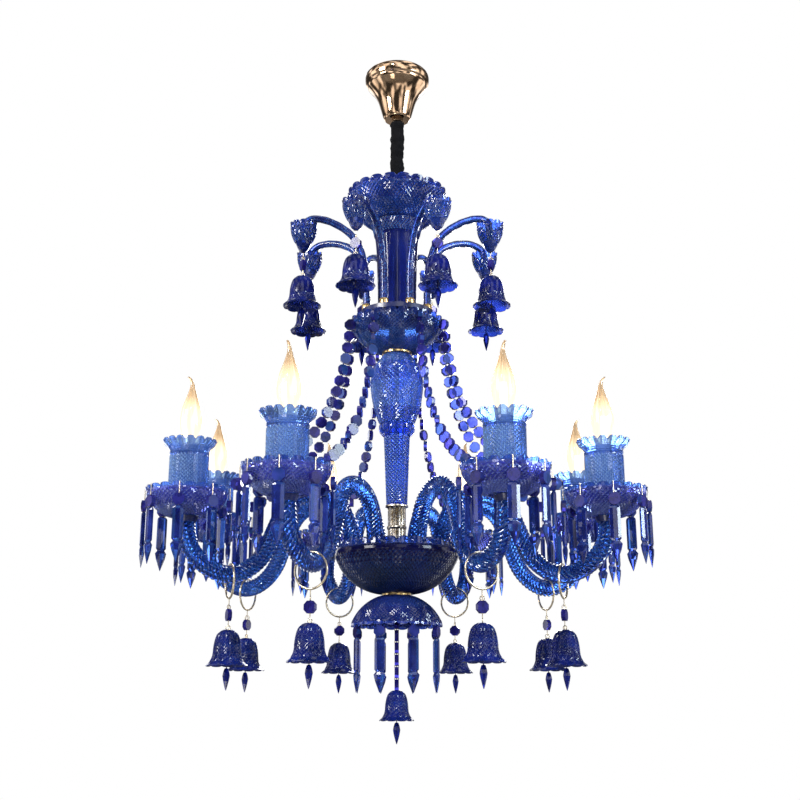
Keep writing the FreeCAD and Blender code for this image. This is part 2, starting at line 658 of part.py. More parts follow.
# A swag hangs in a curve from the upper bowl's rim to the inner rim of a bobeche.
swag_start = Vector(dims.swag_top_radius.value, 0, dims.swag_top_level.value)
swag_pull = Vector(dims.swag_pull_radius.value, 0, dims.swag_pull_level.value)
swag_end = Vector(dims.swag_end_radius.value, 0, dims.swag_end_level.value)
swag_curve = Part.BezierCurve()
swag_curve.setPoles([swag_start, swag_pull, swag_end])
swag_edge = swag_curve.toShape()
swag_count = round(swag_edge.Length / dims.swag_pitch.value)
step_length = swag_edge.Length / swag_count
sideways = FreeCAD.Rotation(Vector(1, 0, 0), 90)
swag_row, joins = [], []
for number in range(swag_count):
    here = swag_edge.getParameterByLength(step_length * (number + 0.5))
    swag_row.append(copy(bead, FreeCAD.Placement(swag_edge.valueAt(here), sideways)))
    if number:
        joint = swag_edge.getParameterByLength(step_length * number)
        turn = FreeCAD.Rotation(Vector(0, 0, 1), swag_edge.tangentAt(joint))
        joins.append(FreeCAD.Placement(swag_edge.valueAt(joint), turn))
join_gap = step_length - 2 * dims.bead_radius.value
join_pin = doc.addObject("Part::Cylinder", "join_pin")
join_pin.setExpression("Radius", dims.pin_radius.text)
join_pin.Height = join_gap * 0.9
centred = FreeCAD.Placement(Vector(0, 0, -join_gap * 0.45), FreeCAD.Rotation())
swag_bead_row = group("swag_bead_row", swag_row)
swag_join_row = group("swag_join_row", [copy(join_pin, place.multiply(centred)) for place in joins])
keep(group("swag_beads", [copy(swag_bead_row, facing(angle)) for angle in LIGHT_ANGLES]))
keep(group("swag_pins", [copy(swag_join_row, facing(angle)) for angle in LIGHT_ANGLES]))


# ---------------------------------------------------------------- bells

def bell_outline(scale=1.0):
    """A bell with a closed top at the origin's level, a domed shoulder and a flared rim."""
    height = dims.bell_height * scale
    return walled([
        (as_size(0), as_size(0)), (dims.bell_top_radius * scale, as_size(0)),
        (dims.bell_dome_radius * (scale * 0.86), height * -0.2, "arc"),
        (dims.bell_dome_radius * scale, height * -0.5),
        (dims.bell_dome_radius * (scale * 1.18), height * -0.84),
        (dims.bell_rim_radius * scale, -height),
    ], dims.bell_wall)


bell = turned("bell", bell_outline())
clapper = turned("clapper", [
    (as_size(0), as_size(0)), (dims.clapper_radius * 0.5, as_size(0)),
    (dims.clapper_radius, dims.clapper_length * -0.35), (as_size(0), -dims.clapper_length),
])
clapper_drop = dims.bell_height + 2


def pendant_parts(tag, bell_level, hang_level, bell_piece, scale=1.0):
    """The bead, pins, bell and clapper that hang from hang_level down to the bell's clapper."""
    bead_centre = (bell_level + hang_level) * 0.5
    upper = cylinder(f"{tag}_upper_pin", dims.pin_radius, hang_level, bead_centre + dims.bead_radius)
    lower = cylinder(f"{tag}_lower_pin", dims.pin_radius, bead_centre - dims.bead_radius, bell_level)
    inner = bell_level - dims.bell_wall
    foot = bell_level - clapper_drop * scale
    stick = cylinder(f"{tag}_clapper_pin", dims.pin_radius, inner, foot)
    return [
        upper, copy(bead, FreeCAD.Placement(Vector(0, 0, bead_centre.value), upright)), lower,
        copy(bell_piece, moved(0, bell_level.value)), stick, copy(clapper, moved(0, foot.value)),
    ]


# lower bells: each hangs from a round hoop that sits over its arm
hoop = torus("hoop", dims.hoop_radius, dims.hoop_wire, as_size(0))
plumb = Part.makeLine(Vector(dims.lower_circle.value, 0, -950), Vector(dims.lower_circle.value, 0, -850))
arm_level = as_size(bent_path(arm_points).distToShape(plumb)[1][0][0].z)
hoop_top = arm_level + dims.arm_radius + dims.hoop_slack + dims.hoop_wire
hoop_centre = hoop_top - dims.hoop_radius
hoop_foot = hoop_centre - dims.hoop_radius - dims.hoop_wire
lower_parts = pendant_parts("lower", dims.lower_bell_top_level, hoop_foot, bell)
lower_set = group("lower_set", [copy(hoop, moved(0, hoop_centre.value))] + lower_parts)
for number, angle in enumerate(LIGHT_ANGLES, 1):
    place = facing(angle).multiply(moved(dims.lower_circle.value, 0))
    keep(group(f"lower_bell_{number}", [copy(lower_set, place)]))

# upper bells: each hangs from the tip of a trumpet cup
upper_set = group("upper_set", pendant_parts(
    "upper", dims.upper_bell_top_level, dims.trumpet_foot_level - 0.3, bell))
for number, angle in enumerate(UPPER_ANGLES, 1):
    place = facing(angle).multiply(moved(circle, 0))
    keep(group(f"upper_bell_{number}", [copy(upper_set, place)]))

# centre pendant: a string of beads from the end nut's ring, and a smaller bell
centre_hook_level = end_ring_level - dims.end_ring_radius
centre_link = torus("centre_link", dims.end_ring_radius, dims.end_ring_wire,
                    centre_hook_level - dims.end_ring_radius + dims.end_ring_wire * 2 + 0.2, upright=False)
centre_link.Placement.Rotation = FreeCAD.Rotation(Vector(1, 0, 0), 90)
string_top = centre_hook_level - dims.end_ring_radius * 2 + dims.end_ring_wire + 0.2
centre_scale = dims.centre_bell_scale.value
string_foot = dims.centre_bell_top_level
string_beads = 6
bead_pitch = (string_top - string_foot) * (1 / string_beads)
string = [centre_link]
for number in range(string_beads):
    centre = string_top - bead_pitch * (number + 0.5)
    string.append(copy(bead, FreeCAD.Placement(Vector(0, 0, centre.value), upright)))
    string.append(cylinder(f"string_pin_{number}", dims.pin_radius,
                           centre + bead_pitch * 0.5, centre + dims.bead_radius))
    string.append(cylinder(f"string_tail_{number}", dims.pin_radius,
                           centre - dims.bead_radius, centre - bead_pitch * 0.5))
keep(group("centre_string", string))

centre_bell = turned("centre_bell_glass", bell_outline(centre_scale))
centre_foot = string_foot - clapper_drop * centre_scale
centre_stick = cylinder("centre_clapper_pin", dims.pin_radius, string_foot - dims.bell_wall, centre_foot)
keep(group("centre_bell", [
    copy(centre_bell, moved(0, string_foot.value)), centre_stick,
    copy(clapper, moved(0, centre_foot.value)),
]))

# ---------------------------------------------------------------- checks and export

doc.recompute()
for item in doc.Objects:
    if "Invalid" in item.State or "Error" in item.State:
        raise RuntimeError(f"{item.Label} didn't recompute: {item.State}")
os.makedirs("parts", exist_ok=True)
for node in nodes:
    shape = node.Shape
    if shape.isNull() or not shape.isValid() or shape.Volume <= 0 or not shape.Solids:
        raise RuntimeError(f"{node.Label} has no valid solid")
for node in nodes:
    node.Shape.exportStep(f"parts/{node.Label}.step")
print(f"{len(nodes)} nodes written")
print("pivots: hook ring", dims.hook_ring_level.value, "chain foot arc",
      (chain_foot + dims.link_half_width).value, "end ring", centre_hook_level.value,
      "arm axis over a lower bell", arm_level.value)
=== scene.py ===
import math
import random
import bpy
from mathutils import Matrix


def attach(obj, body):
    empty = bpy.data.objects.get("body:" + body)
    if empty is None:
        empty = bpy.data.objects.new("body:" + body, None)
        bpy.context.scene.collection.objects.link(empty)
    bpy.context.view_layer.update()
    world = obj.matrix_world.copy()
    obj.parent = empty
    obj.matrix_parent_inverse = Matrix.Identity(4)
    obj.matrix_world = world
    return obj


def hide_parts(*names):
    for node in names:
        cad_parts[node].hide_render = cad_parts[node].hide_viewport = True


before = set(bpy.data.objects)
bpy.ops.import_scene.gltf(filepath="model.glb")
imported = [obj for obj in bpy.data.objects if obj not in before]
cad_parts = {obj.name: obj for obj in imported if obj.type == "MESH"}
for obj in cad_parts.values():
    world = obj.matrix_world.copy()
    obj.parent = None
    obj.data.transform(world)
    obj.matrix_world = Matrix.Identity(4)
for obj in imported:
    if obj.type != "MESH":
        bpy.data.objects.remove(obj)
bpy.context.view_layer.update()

# ---------------------------------------------------------------- studio
# A grey floor well below the hanging light, lamps around it, and a room that the camera sees
# as plain white but that the glass sees as bright and dark patches, so that its facets sparkle.
# The camera stands in front, a little below the middle, and looks up.

bpy.ops.object.select_all(action="DESELECT")
bpy.ops.object.camera_add(location=(0.005, -1.748, -1.063), rotation=(math.radians(105.26), 0, 0))
camera = bpy.context.object
camera.name = "studio_camera"
camera.data.lens = 50.7
camera.data.sensor_width = 36
bpy.context.scene.camera = camera
bpy.context.scene.view_settings.view_transform = "Standard"


def add_lamp(name, place, aim, size, power, colour):
    """A soft square lamp turned towards a point."""
    bpy.ops.object.light_add(type="AREA", location=place)
    lamp = bpy.context.object
    lamp.name = name
    lamp.data.size = size
    lamp.data.energy = power
    lamp.data.color = colour
    gap = Matrix.Translation(aim).translation - Matrix.Translation(place).translation
    lamp.rotation_euler = gap.to_track_quat("-Z", "Y").to_euler()
    return lamp


add_lamp("left_lamp", (-1.9, -1.5, 0.3), (0, 0, -0.6), 0.8, 50, (1.0, 0.98, 0.95))
add_lamp("right_lamp", (2.0, -1.2, -0.2), (0, 0, -0.6), 0.7, 34, (0.78, 0.92, 1.0))
add_lamp("back_lamp", (0.4, 2.2, 0.2), (0, 0, -0.7), 1.0, 40, (1.0, 1.0, 1.0))
add_lamp("low_lamp", (-0.6, -1.5, -1.9), (0, 0, -0.8), 0.5, 5, (1.0, 0.97, 0.92))
add_lamp("glint_lamp", (-0.5, -1.9, 0.9), (0, 0, -0.7), 0.2, 4, (1.0, 1.0, 1.0))


def add_node(tree, kind, values=None, **settings):
    """A shader node with its own settings and unlinked values."""
    node = tree.nodes.new("ShaderNode" + kind)
    for label, value in settings.items():
        setattr(node, label, value)
    for label, value in (values or {}).items():
        node.inputs[label].default_value = value
    return node


def wire(tree, runs):
    """Links nodes: each run is a node, its outlet, the next node and its inlet."""
    for source, outlet, target, inlet in runs:
        tree.links.new(source.outputs[outlet], target.inputs[inlet])


room = bpy.data.worlds.new("studio_room")
bpy.context.scene.world = room
room.use_nodes = True
air = room.node_tree
air.nodes.clear()
looking = add_node(air, "TexCoord")
patches = add_node(air, "TexNoise", {"Scale": 2.6, "Detail": 1})
shades = add_node(air, "ValToRGB")
shades.color_ramp.elements[0].color = (0.02, 0.02, 0.02, 1)
shades.color_ramp.elements[1].color = (1.0, 1.0, 1.0, 1)
for place, tone in ((0.44, 0.03), (0.53, 0.22), (0.62, 1.0)):
    shades.color_ramp.elements.new(place).color = (tone, tone, tone, 1)
dim_air = add_node(air, "Background", {"Strength": 2.2})
white_air = add_node(air, "Background", {"Color": (1, 1, 1, 1)})
rays = add_node(air, "LightPath")
both = add_node(air, "MixShader")
outlet = add_node(air, "OutputWorld")
wire(air, [
    (looking, "Generated", patches, "Vector"), (patches, "Fac", shades, "Fac"),
    (shades, "Color", dim_air, "Color"), (rays, "Is Camera Ray", both, 0), (dim_air, 0, both, 1),
    (white_air, 0, both, 2), (both, 0, outlet, "Surface"),
])

bpy.ops.mesh.primitive_circle_add(vertices=96, radius=3.2, fill_type="NGON", location=(0, 0, -2.1))
floor = bpy.context.object
floor.name = "studio_floor"
bpy.ops.object.transform_apply(location=True)
bpy.ops.object.mode_set(mode="EDIT")
bpy.ops.mesh.select_all(action="SELECT")
bpy.ops.mesh.inset(thickness=0.08, depth=0.01)
bpy.ops.object.mode_set(mode="OBJECT")

# ---------------------------------------------------------------- ceiling canopy
# A spun cup of champagne-coloured metal that covers the hook and the wires at the ceiling.
# It is polished and lacquered, and held up by the nut on the hook's stem.

MM = 0.001


def draw_shell(name, sides, levels, turn=0):
    """A thin shell: a ring of points pulled through levels of (radius, height).

    A level of (half width, half depth, height) makes an oval ring; turn turns the points on it.
    """
    rows = [row if len(row) == 3 else (row[0], row[0], row[1]) for row in levels]
    bpy.ops.object.select_all(action="DESELECT")
    wide, deep, level = rows[0]
    bpy.ops.mesh.primitive_circle_add(vertices=sides, radius=MM, location=(0, 0, level * MM),
                                      rotation=(0, 0, turn))
    shell = bpy.context.object
    shell.name = name
    bpy.ops.object.transform_apply(location=False, rotation=True, scale=False)
    shell.scale = (wide, deep, 1)
    bpy.ops.object.transform_apply(location=True, rotation=True, scale=True)
    bpy.ops.object.mode_set(mode="EDIT")
    bpy.ops.mesh.select_all(action="SELECT")
    for (wide, deep, level), (next_wide, next_deep, next_level) in zip(rows, rows[1:]):
        step = (next_level - level) * MM
        bpy.ops.mesh.extrude_region_move(TRANSFORM_OT_translate={"value": (0, 0, step)})
        bpy.ops.transform.resize(value=(next_wide / wide, next_deep / deep, 1),
                                 center_override=(0, 0, 0))
    bpy.ops.mesh.select_all(action="SELECT")
    bpy.ops.mesh.normals_make_consistent(inside=False)
    bpy.ops.object.mode_set(mode="OBJECT")
    return shell


def arc(start, middle, end, count):
    """Levels along the round line through three (radius, height) points, the first left out."""
    (ax, az), (bx, bz), (cx, cz) = start, middle, end
    twice = 2 * (ax * (bz - cz) + bx * (cz - az) + cx * (az - bz))
    first, second, third = ax * ax + az * az, bx * bx + bz * bz, cx * cx + cz * cz
    hub_x = (first * (bz - cz) + second * (cz - az) + third * (az - bz)) / twice
    hub_z = (first * (cx - bx) + second * (ax - cx) + third * (bx - ax)) / twice
    begin = math.atan2(az - hub_z, ax - hub_x)
    sweep = (math.atan2(cz - hub_z, cx - hub_x) - begin) % math.tau
    if (math.atan2(bz - hub_z, bx - hub_x) - begin) % math.tau > sweep:
        sweep -= math.tau
    size = math.hypot(ax - hub_x, az - hub_z)
    turns = [begin + sweep * step / count for step in range(1, count + 1)]
    return [(hub_x + size * math.cos(turn), hub_z + size * math.sin(turn)) for turn in turns]


def thicken(piece, wall):
    """Gives a shell its wall, inwards from the face it was drawn with."""
    bpy.context.view_layer.objects.active = piece
    skin = piece.modifiers.new("wall", "SOLIDIFY")
    skin.thickness = wall * MM
    skin.offset = -1
    bpy.ops.object.modifier_apply(modifier="wall")


def smooth_by(piece, degrees):
    bpy.ops.object.select_all(action="DESELECT")
    piece.select_set(True)
    bpy.context.view_layer.objects.active = piece
    bpy.ops.object.shade_smooth_by_angle(angle=math.radians(degrees))


def new_group(name, inputs, outputs):
    """An empty shared effect with its named sockets."""
    tree = bpy.data.node_groups.new(name, "ShaderNodeTree")
    for label, kind, value in inputs:
        socket = tree.interface.new_socket(name=label, in_out="INPUT", socket_type=kind)
        socket.default_value = value
    for label, kind in outputs:
        tree.interface.new_socket(name=label, in_out="OUTPUT", socket_type=kind)
    return tree, tree.nodes.new("NodeGroupInput"), tree.nodes.new("NodeGroupOutput")


# shared effect: polish with faint clouding, fine scratches and handling marks
polish, given, made = new_group("polish_marks", [
    ("Bright", "NodeSocketColor", (0.8, 0.8, 0.8, 1)), ("Dull", "NodeSocketColor", (0.4, 0.4, 0.4, 1)),
    ("Scale", "NodeSocketFloat", 60),
    ("Smoothest", "NodeSocketFloat", 0.1), ("Roughest", "NodeSocketFloat", 0.3),
], [("Color", "NodeSocketColor"), ("Roughness", "NodeSocketFloat"), ("Height", "NodeSocketFloat")])
where = add_node(polish, "TexCoord")
clouds = add_node(polish, "TexNoise", {"Detail": 4})
scratch_map = add_node(polish, "Mapping", {"Scale": (1, 1, 9)})
scratches = add_node(polish, "TexNoise", {"Scale": 420})
spread = add_node(polish, "MapRange", {"From Min": 0.35, "From Max": 0.65})
tint = add_node(polish, "Mix", data_type="RGBA")
rough = add_node(polish, "MapRange", {"From Min": 0.3, "From Max": 0.7})
wire(polish, [
    (where, "Object", clouds, "Vector"), (given, "Scale", clouds, "Scale"),
    (where, "Object", scratch_map, "Vector"), (scratch_map, "Vector", scratches, "Vector"),
    (clouds, "Fac", spread, "Value"), (spread, "Result", tint, "Factor"),
    (given, "Bright", tint, "A"), (given, "Dull", tint, "B"), (tint, "Result", made, "Color"),
    (scratches, "Fac", rough, "Value"), (given, "Smoothest", rough, "To Min"),
    (given, "Roughest", rough, "To Max"), (rough, "Result", made, "Roughness"),
    (scratches, "Fac", made, "Height"),
])


def finish_with(name, group, values, shader_values, bump):
    """A material whose colour, roughness and bump come from a shared effect with its own values."""
    material = bpy.data.materials.new(name)
    material.use_nodes = True
    tree = material.node_tree
    shader = tree.nodes["Principled BSDF"]
    effect = tree.nodes.new("ShaderNodeGroup")
    effect.node_tree = group
    for label, value in values.items():
        effect.inputs[label].default_value = value
    for label, value in shader_values.items():
        shader.inputs[label].default_value = value
    relief = tree.nodes.new("ShaderNodeBump")
    relief.inputs["Strength"].default_value = bump
    relief.inputs["Distance"].default_value = 0.0004
    tree.links.new(effect.outputs["Color"], shader.inputs["Base Color"])
    tree.links.new(effect.outputs["Roughness"], shader.inputs["Roughness"])
    tree.links.new(effect.outputs["Height"], relief.inputs["Height"])
    tree.links.new(relief.outputs["Normal"], shader.inputs["Normal"])
    return material


def polished(name, bright, dull, grain, rough, bump, metal=0.0, coat=0.0):
    """A metal or painted finish that clouds between two tones."""
    values = {"Bright": (*bright, 1), "Dull": (*dull, 1), "Scale": grain,
              "Smoothest": rough[0], "Roughest": rough[1]}
    return finish_with(name, polish, values, {"Metallic": metal, "Coat Weight": coat}, bump)


def paint(piece, material):
    """Puts one material all over a new piece."""
    piece.data.materials.clear()
    piece.data.materials.append(material)


def paint_node(node, material):
    """Puts one material on a piece that was kept from the frame."""
    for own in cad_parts[node].material_slots:
        own.material = material


champagne = polished("champagne_metal", (0.62, 0.42, 0.27), (0.34, 0.21, 0.12), grain=34,
                     rough=(0.04, 0.12), bump=0.05, metal=1.0, coat=0.15)
canopy = draw_shell("ceiling_canopy", 96, [
    (49, 0), (52.6, -1.2), (54.8, -4), (55.5, -8.5), (55.3, -13), (54, -17.4), (51.4, -19.6),
    (51.2, -21.6), (48.6, -25), (44.4, -30), (39.6, -36.5), (35.4, -44), (32, -52), (29.4, -61),
    (27, -70), (24.8, -78),
    (23.4, -82), (22.2, -84.6), (20.6, -86), (12, -86), (4.3, -86),
])
thicken(canopy, 1.3)
smooth_by(canopy, 32)
paint(canopy, champagne)
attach(canopy, "ceiling_fitting")
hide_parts("canopy_shell")

# ---------------------------------------------------------------- bracket, hook and nut
# A zinc-plated steel bar is screwed to the ceiling. A threaded hook passes through it,
# and a turned nut under the canopy holds the cup against the ceiling.

zinc = polished("zinc_plate", (0.62, 0.63, 0.65), (0.42, 0.43, 0.46), grain=120, rough=(0.25, 0.5),
                bump=0.2, metal=1.0)
dark_bronze = polished("dark_bronze", (0.3, 0.21, 0.13), (0.1, 0.07, 0.05), grain=70,
                       rough=(0.2, 0.42), bump=0.15, metal=1.0)
paint_node("ceiling_bracket", zinc)
for node in ("canopy_hook", "canopy_nut", "chain_links"):
    paint_node(node, dark_bronze)

# ---------------------------------------------------------------- chain sleeve
# A tube of thin black cloth is gathered over the chain and the supply wire. Its ends are tucked
# under the canopy and into the crown, and it bunches in soft lumps over the links.

random.seed(7)
sleeve_rows, sleeve_sides = 58, 72
sleeve_top, sleeve_length, sleeve_radius = -93.4, 122, 12.2
sleeve_levels = []
for row in range(sleeve_rows + 1):
    share = row / sleeve_rows
    lump = 0.9 * math.sin(share * 31) + 0.6 * math.sin(share * 53 + 1) + random.uniform(-0.35, 0.35)
    flare = 4.4 * max(0, share - 0.75)
    sleeve_levels.append((sleeve_radius + lump + flare, sleeve_top - sleeve_length * share))
sleeve = draw_shell("black_chain_sleeve", sleeve_sides, sleeve_levels)
for turn, depth in ((0, 0.93), (1, 0.96), (3, 1.03), (5, 0.95), (7, 1.04), (8, 0.97)):
    for vertex in sleeve.data.vertices:
        row, side = divmod(vertex.index, sleeve_sides)
        vertex.select = (side + row // 7 * 2) % 9 == turn
    bpy.ops.object.mode_set(mode="EDIT")
    bpy.ops.transform.resize(value=(depth, depth, 1), center_override=(0, 0, 0))
    bpy.ops.mesh.select_all(action="DESELECT")
    bpy.ops.object.mode_set(mode="OBJECT")
rumple = bpy.data.textures.new("sleeve_rumple", "CLOUDS")
rumple.noise_scale = 0.017
crumple = sleeve.modifiers.new("crumple", "DISPLACE")
crumple.texture = rumple
crumple.texture_coords = "LOCAL"
crumple.strength = 0.0085
crumple.mid_level = 0.55
bpy.ops.object.modifier_apply(modifier="crumple")
relax = sleeve.modifiers.new("relax", "SMOOTH")
relax.iterations = 2
bpy.ops.object.modifier_apply(modifier="relax")
smooth_by(sleeve, 80)
cloth = bpy.data.materials.new("black_cloth")
cloth.use_nodes = True
weave = cloth.node_tree
cloth_shader = weave.nodes["Principled BSDF"]
cloth_shader.inputs["Specular IOR Level"].default_value = 0.15
cloth_shader.inputs["Roughness"].default_value = 0.9
cloth_place = add_node(weave, "TexCoord")
threads = add_node(weave, "TexNoise", {"Scale": 1500, "Detail": 2})
blotches = add_node(weave, "TexNoise", {"Scale": 90})
cloth_tones = {"A": (0.001, 0.001, 0.0016, 1), "B": (0.006, 0.006, 0.008, 1)}
cloth_tone = add_node(weave, "Mix", cloth_tones, data_type="RGBA")
cloth_relief = add_node(weave, "Bump", {"Strength": 0.5, "Distance": 0.0006})
wire(weave, [
    (cloth_place, "Object", threads, "Vector"), (cloth_place, "Object", blotches, "Vector"),
    (blotches, "Fac", cloth_tone, "Factor"), (cloth_tone, "Result", cloth_shader, "Base Color"),
    (threads, "Fac", cloth_relief, "Height"), (cloth_relief, "Normal", cloth_shader, "Normal"),
])
paint(sleeve, cloth)
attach(sleeve, "chain")
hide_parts("chain_sleeve")

# ---------------------------------------------------------------- top crown
# A scalloped bell-shaped bowl of cobalt pressed glass sits on the trunk with its rim up.
# The whole of its outside is cut into small diamonds, and the black sleeve goes down into it.


def pick_points(piece, sides, wanted):
    """Selects the points for which wanted(row, side) is true, and goes into edit mode."""
    bpy.ops.object.select_all(action="DESELECT")
    piece.select_set(True)
    bpy.context.view_layer.objects.active = piece
    piece.data.polygons.foreach_set("select", [False] * len(piece.data.polygons))
    piece.data.edges.foreach_set("select", [False] * len(piece.data.edges))
    rows = [divmod(index, sides) for index in range(len(piece.data.vertices))]
    piece.data.vertices.foreach_set("select", [wanted(row, side) for row, side in rows])
    bpy.ops.object.mode_set(mode="EDIT")
    bpy.ops.mesh.select_mode(type="VERT")


def vary_facets(piece, shine):
    """Paints random highlights on the facets: most stay dark and a few get a bright painted glint."""
    tones = piece.data.attributes.new("painted_glint", "FLOAT", "FACE")
    tones.data.foreach_set("value", [shine * random.random() ** 4 for face in piece.data.polygons])


def light_facets(piece, shine):
    """Paints a highlight on the facets that lean to one side, as if lit from there, less so on a steep
    wall.
    """
    tones = []
    for face in piece.data.polygons:
        out = math.hypot(face.center.x, face.center.y)
        across = (face.center.x * face.normal.y - face.center.y * face.normal.x) / max(out, MM)
        steep = face.normal.z > 0.1 or face.normal.z < -0.35
        # painted highlight: tilted facets leaning one way get the full glint, other tilted ones a
        # quarter, upright ones none
        lit = 1.0 if steep and across > 0.1 else 0.25 if steep else 0.0
        tones.append(shine * lit * random.uniform(0.5, 1))
    made_tones = piece.data.attributes.new("painted_glint", "FLOAT", "FACE")
    made_tones.data.foreach_set("value", tones)


def cut_diamonds(piece, sides, first, last, depth, shine=0.5):
    """Pulls every other point of a grid out, splits its squares into crisp little pyramids, and paints
    highlights on the facets that lean to one side.
    """
    pick_points(piece, sides, lambda row, side: first <= row <= last and (row + side) % 2 == 0)
    bpy.ops.transform.shrink_fatten(value=depth * MM)
    bpy.ops.mesh.select_all(action="SELECT")
    bpy.ops.mesh.quads_convert_to_tris(quad_method="SHORTEST_DIAGONAL", ngon_method="BEAUTY")
    bpy.ops.mesh.select_all(action="DESELECT")
    bpy.ops.object.mode_set(mode="OBJECT")
    light_facets(piece, shine)


def scallop(piece, sides, count, rows, drop, pull):
    """Shapes a rim into rounded lobes: the points between lobes move by drop and shrink by pull."""
    lobe = sides // count
    for row, share in rows:
        for phase in range(lobe // 2):
            across = 1 - 2 * phase / lobe
            dip = (1 - math.sqrt(1 - across * across)) * share
            ends = (phase, (lobe - phase) % lobe)
            pick_points(piece, sides, lambda r, s: r == row and s % lobe in ends)
            bpy.ops.transform.translate(value=(0, 0, -drop * dip * MM))
            bpy.ops.transform.resize(value=(1 - pull * dip, 1 - pull * dip, 1),
                                     center_override=(0, 0, 0))
            bpy.ops.mesh.select_all(action="DESELECT")
            bpy.ops.object.mode_set(mode="OBJECT")


# shared effect: tint of pressed glass, denser in drifts, painted paler towards the Glint colour as a
# painted highlight on the facets that carry a glint share, with faint ripples from the mould
pressed, given, made = new_group("pressed_glass", [
    ("Deep", "NodeSocketColor", (0.01, 0.02, 0.3, 1)), ("Clear", "NodeSocketColor", (0.1, 0.2, 0.9, 1)),
    ("Glint", "NodeSocketColor", (0.10, 0.36, 1.0, 1)),
    ("Scale", "NodeSocketFloat", 25),
    ("Smoothest", "NodeSocketFloat", 0.0), ("Roughest", "NodeSocketFloat", 0.08),
], [("Color", "NodeSocketColor"), ("Roughness", "NodeSocketFloat"), ("Height", "NodeSocketFloat")])
where = add_node(pressed, "TexCoord")
drifts = add_node(pressed, "TexNoise", {"Detail": 3})
ripples = add_node(pressed, "TexNoise", {"Scale": 260})
spread = add_node(pressed, "MapRange", {"From Min": 0.35, "From Max": 0.65})
tint = add_node(pressed, "Mix", data_type="RGBA")
rough = add_node(pressed, "MapRange")
wire(pressed, [
    (where, "Object", drifts, "Vector"), (given, "Scale", drifts, "Scale"),
    (where, "Object", ripples, "Vector"), (drifts, "Fac", spread, "Value"),
    (spread, "Result", tint, "Factor"), (given, "Deep", tint, "A"), (given, "Clear", tint, "B"),
])
# painted highlight: the per-facet glint share mixes the tint towards the Glint colour
facet = add_node(pressed, "Attribute", attribute_name="painted_glint")
glints = add_node(pressed, "Mix", data_type="RGBA")
wire(pressed, [
    (facet, "Fac", glints, "Factor"), (tint, "Result", glints, "A"), (given, "Glint", glints, "B"),
    (glints, "Result", made, "Color"), (ripples, "Fac", rough, "Value"),
    (given, "Smoothest", rough, "To Min"), (given, "Roughest", rough, "To Max"),
    (rough, "Result", made, "Roughness"), (ripples, "Fac", made, "Height"),
])


def tinted(name, deep, clear, grain, rough, bump, through, bend, shine=0.5, glint=(0.10, 0.36, 1.0)):
    """Tinted glass: through is the share of light it lets by, bend its index of refraction, and glint
    the colour of the highlights painted on its facets.
    """
    values = {"Deep": (*deep, 1), "Clear": (*clear, 1), "Glint": (*glint, 1), "Scale": grain,
              "Smoothest": rough[0], "Roughest": rough[1]}
    clarity = {"Transmission Weight": through, "IOR": bend, "Specular IOR Level": shine}
    return finish_with(name, pressed, values, clarity, bump)


cobalt = tinted("cobalt_glass", (0.008, 0.022, 0.2), (0.03, 0.08, 0.44), grain=22, rough=(0.0, 0.08),
                bump=0.08, through=0.72, bend=1.52)
crown_levels = [(83.5, -225), (82.6, -228.4), (81.4, -232), (80.4, -235.6), (80, -239)]
crown_levels += arc((80, -239), (65, -266), (43, -283), 15)
crown_sides = 132
crown = draw_shell("top_crown_glass", crown_sides, crown_levels)
scallop(crown, crown_sides, 22, ((0, 1), (1, 0.7), (2, 0.4), (3, 0.2)), 4.6, 0.03)
cut_diamonds(crown, crown_sides, 3, 18, 1.0, 0.16)
thicken(crown, 3.4)
crown_cobalt = tinted("crown_glass", (0.005, 0.012, 0.14), (0.018, 0.045, 0.32), grain=22,
                      rough=(0.0, 0.08), bump=0.08, through=0.5, bend=1.5, shine=0.3)
paint(crown, crown_cobalt)
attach(crown, "chandelier")
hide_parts("top_crown")

# ---------------------------------------------------------------- trunk
# The trunk is a pressed glass tube with twelve flat upright panels, and a band of small
# diamonds under the crown. The steel rod through it carries the weight of the light.

trunk = draw_shell("trunk_panels", 12, [
    (38.2, -303), (36.6, -309), (35.4, -318), (34.4, -330), (33.6, -345), (32.8, -370), (32, -400),
    (31.6, -439.8),
])
pick_points(trunk, 12, lambda row, side: True)
bpy.ops.mesh.select_all(action="DESELECT")
bpy.ops.object.mode_set(mode="OBJECT")
points = trunk.data.vertices
for edge in trunk.data.edges:
    start, end = (points[index].co for index in edge.vertices)
    edge.select = abs(start.z - end.z) > 2 * MM
bpy.ops.object.mode_set(mode="EDIT")
bpy.ops.mesh.select_mode(type="EDGE")
bpy.ops.mesh.bevel(offset=1.3 * MM, segments=2)
bpy.ops.mesh.select_all(action="DESELECT")
bpy.ops.object.mode_set(mode="OBJECT")
thicken(trunk, 3.6)
trunk_cap = draw_shell("trunk_cap", 96, [(43, -283.2), (41.6, -286.6), (40.4, -290), (39.4, -293.4),
                                         (38.6, -296.8), (38, -300.2), (37.7, -303.4)])
cut_diamonds(trunk_cap, 96, 0, 6, 0.9)
thicken(trunk_cap, 3.4)


def join(name, pieces):
    """Joins pieces into the first one."""
    bpy.ops.object.select_all(action="DESELECT")
    for piece in pieces:
        piece.select_set(True)
    bpy.context.view_layer.objects.active = pieces[0]
    bpy.ops.object.join()
    pieces[0].name = name
    return pieces[0]


trunk = join("trunk_glass", [trunk, trunk_cap])
deep_cobalt = tinted("deep_cobalt_glass", (0.008, 0.014, 0.13), (0.02, 0.035, 0.26), grain=16,
                     rough=(0.02, 0.1), bump=0.06, through=0.5, bend=1.5, shine=0.3)
paint(trunk, deep_cobalt)
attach(trunk, "chandelier")
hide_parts("trunk_vase")
paint_node("centre_rod", zinc)

# ---------------------------------------------------------------- upper hub
# A round plate of blue-lacquered steel on the rod carries the eight upper arms.
# A small gilt ferrule holds the foot of each arm.

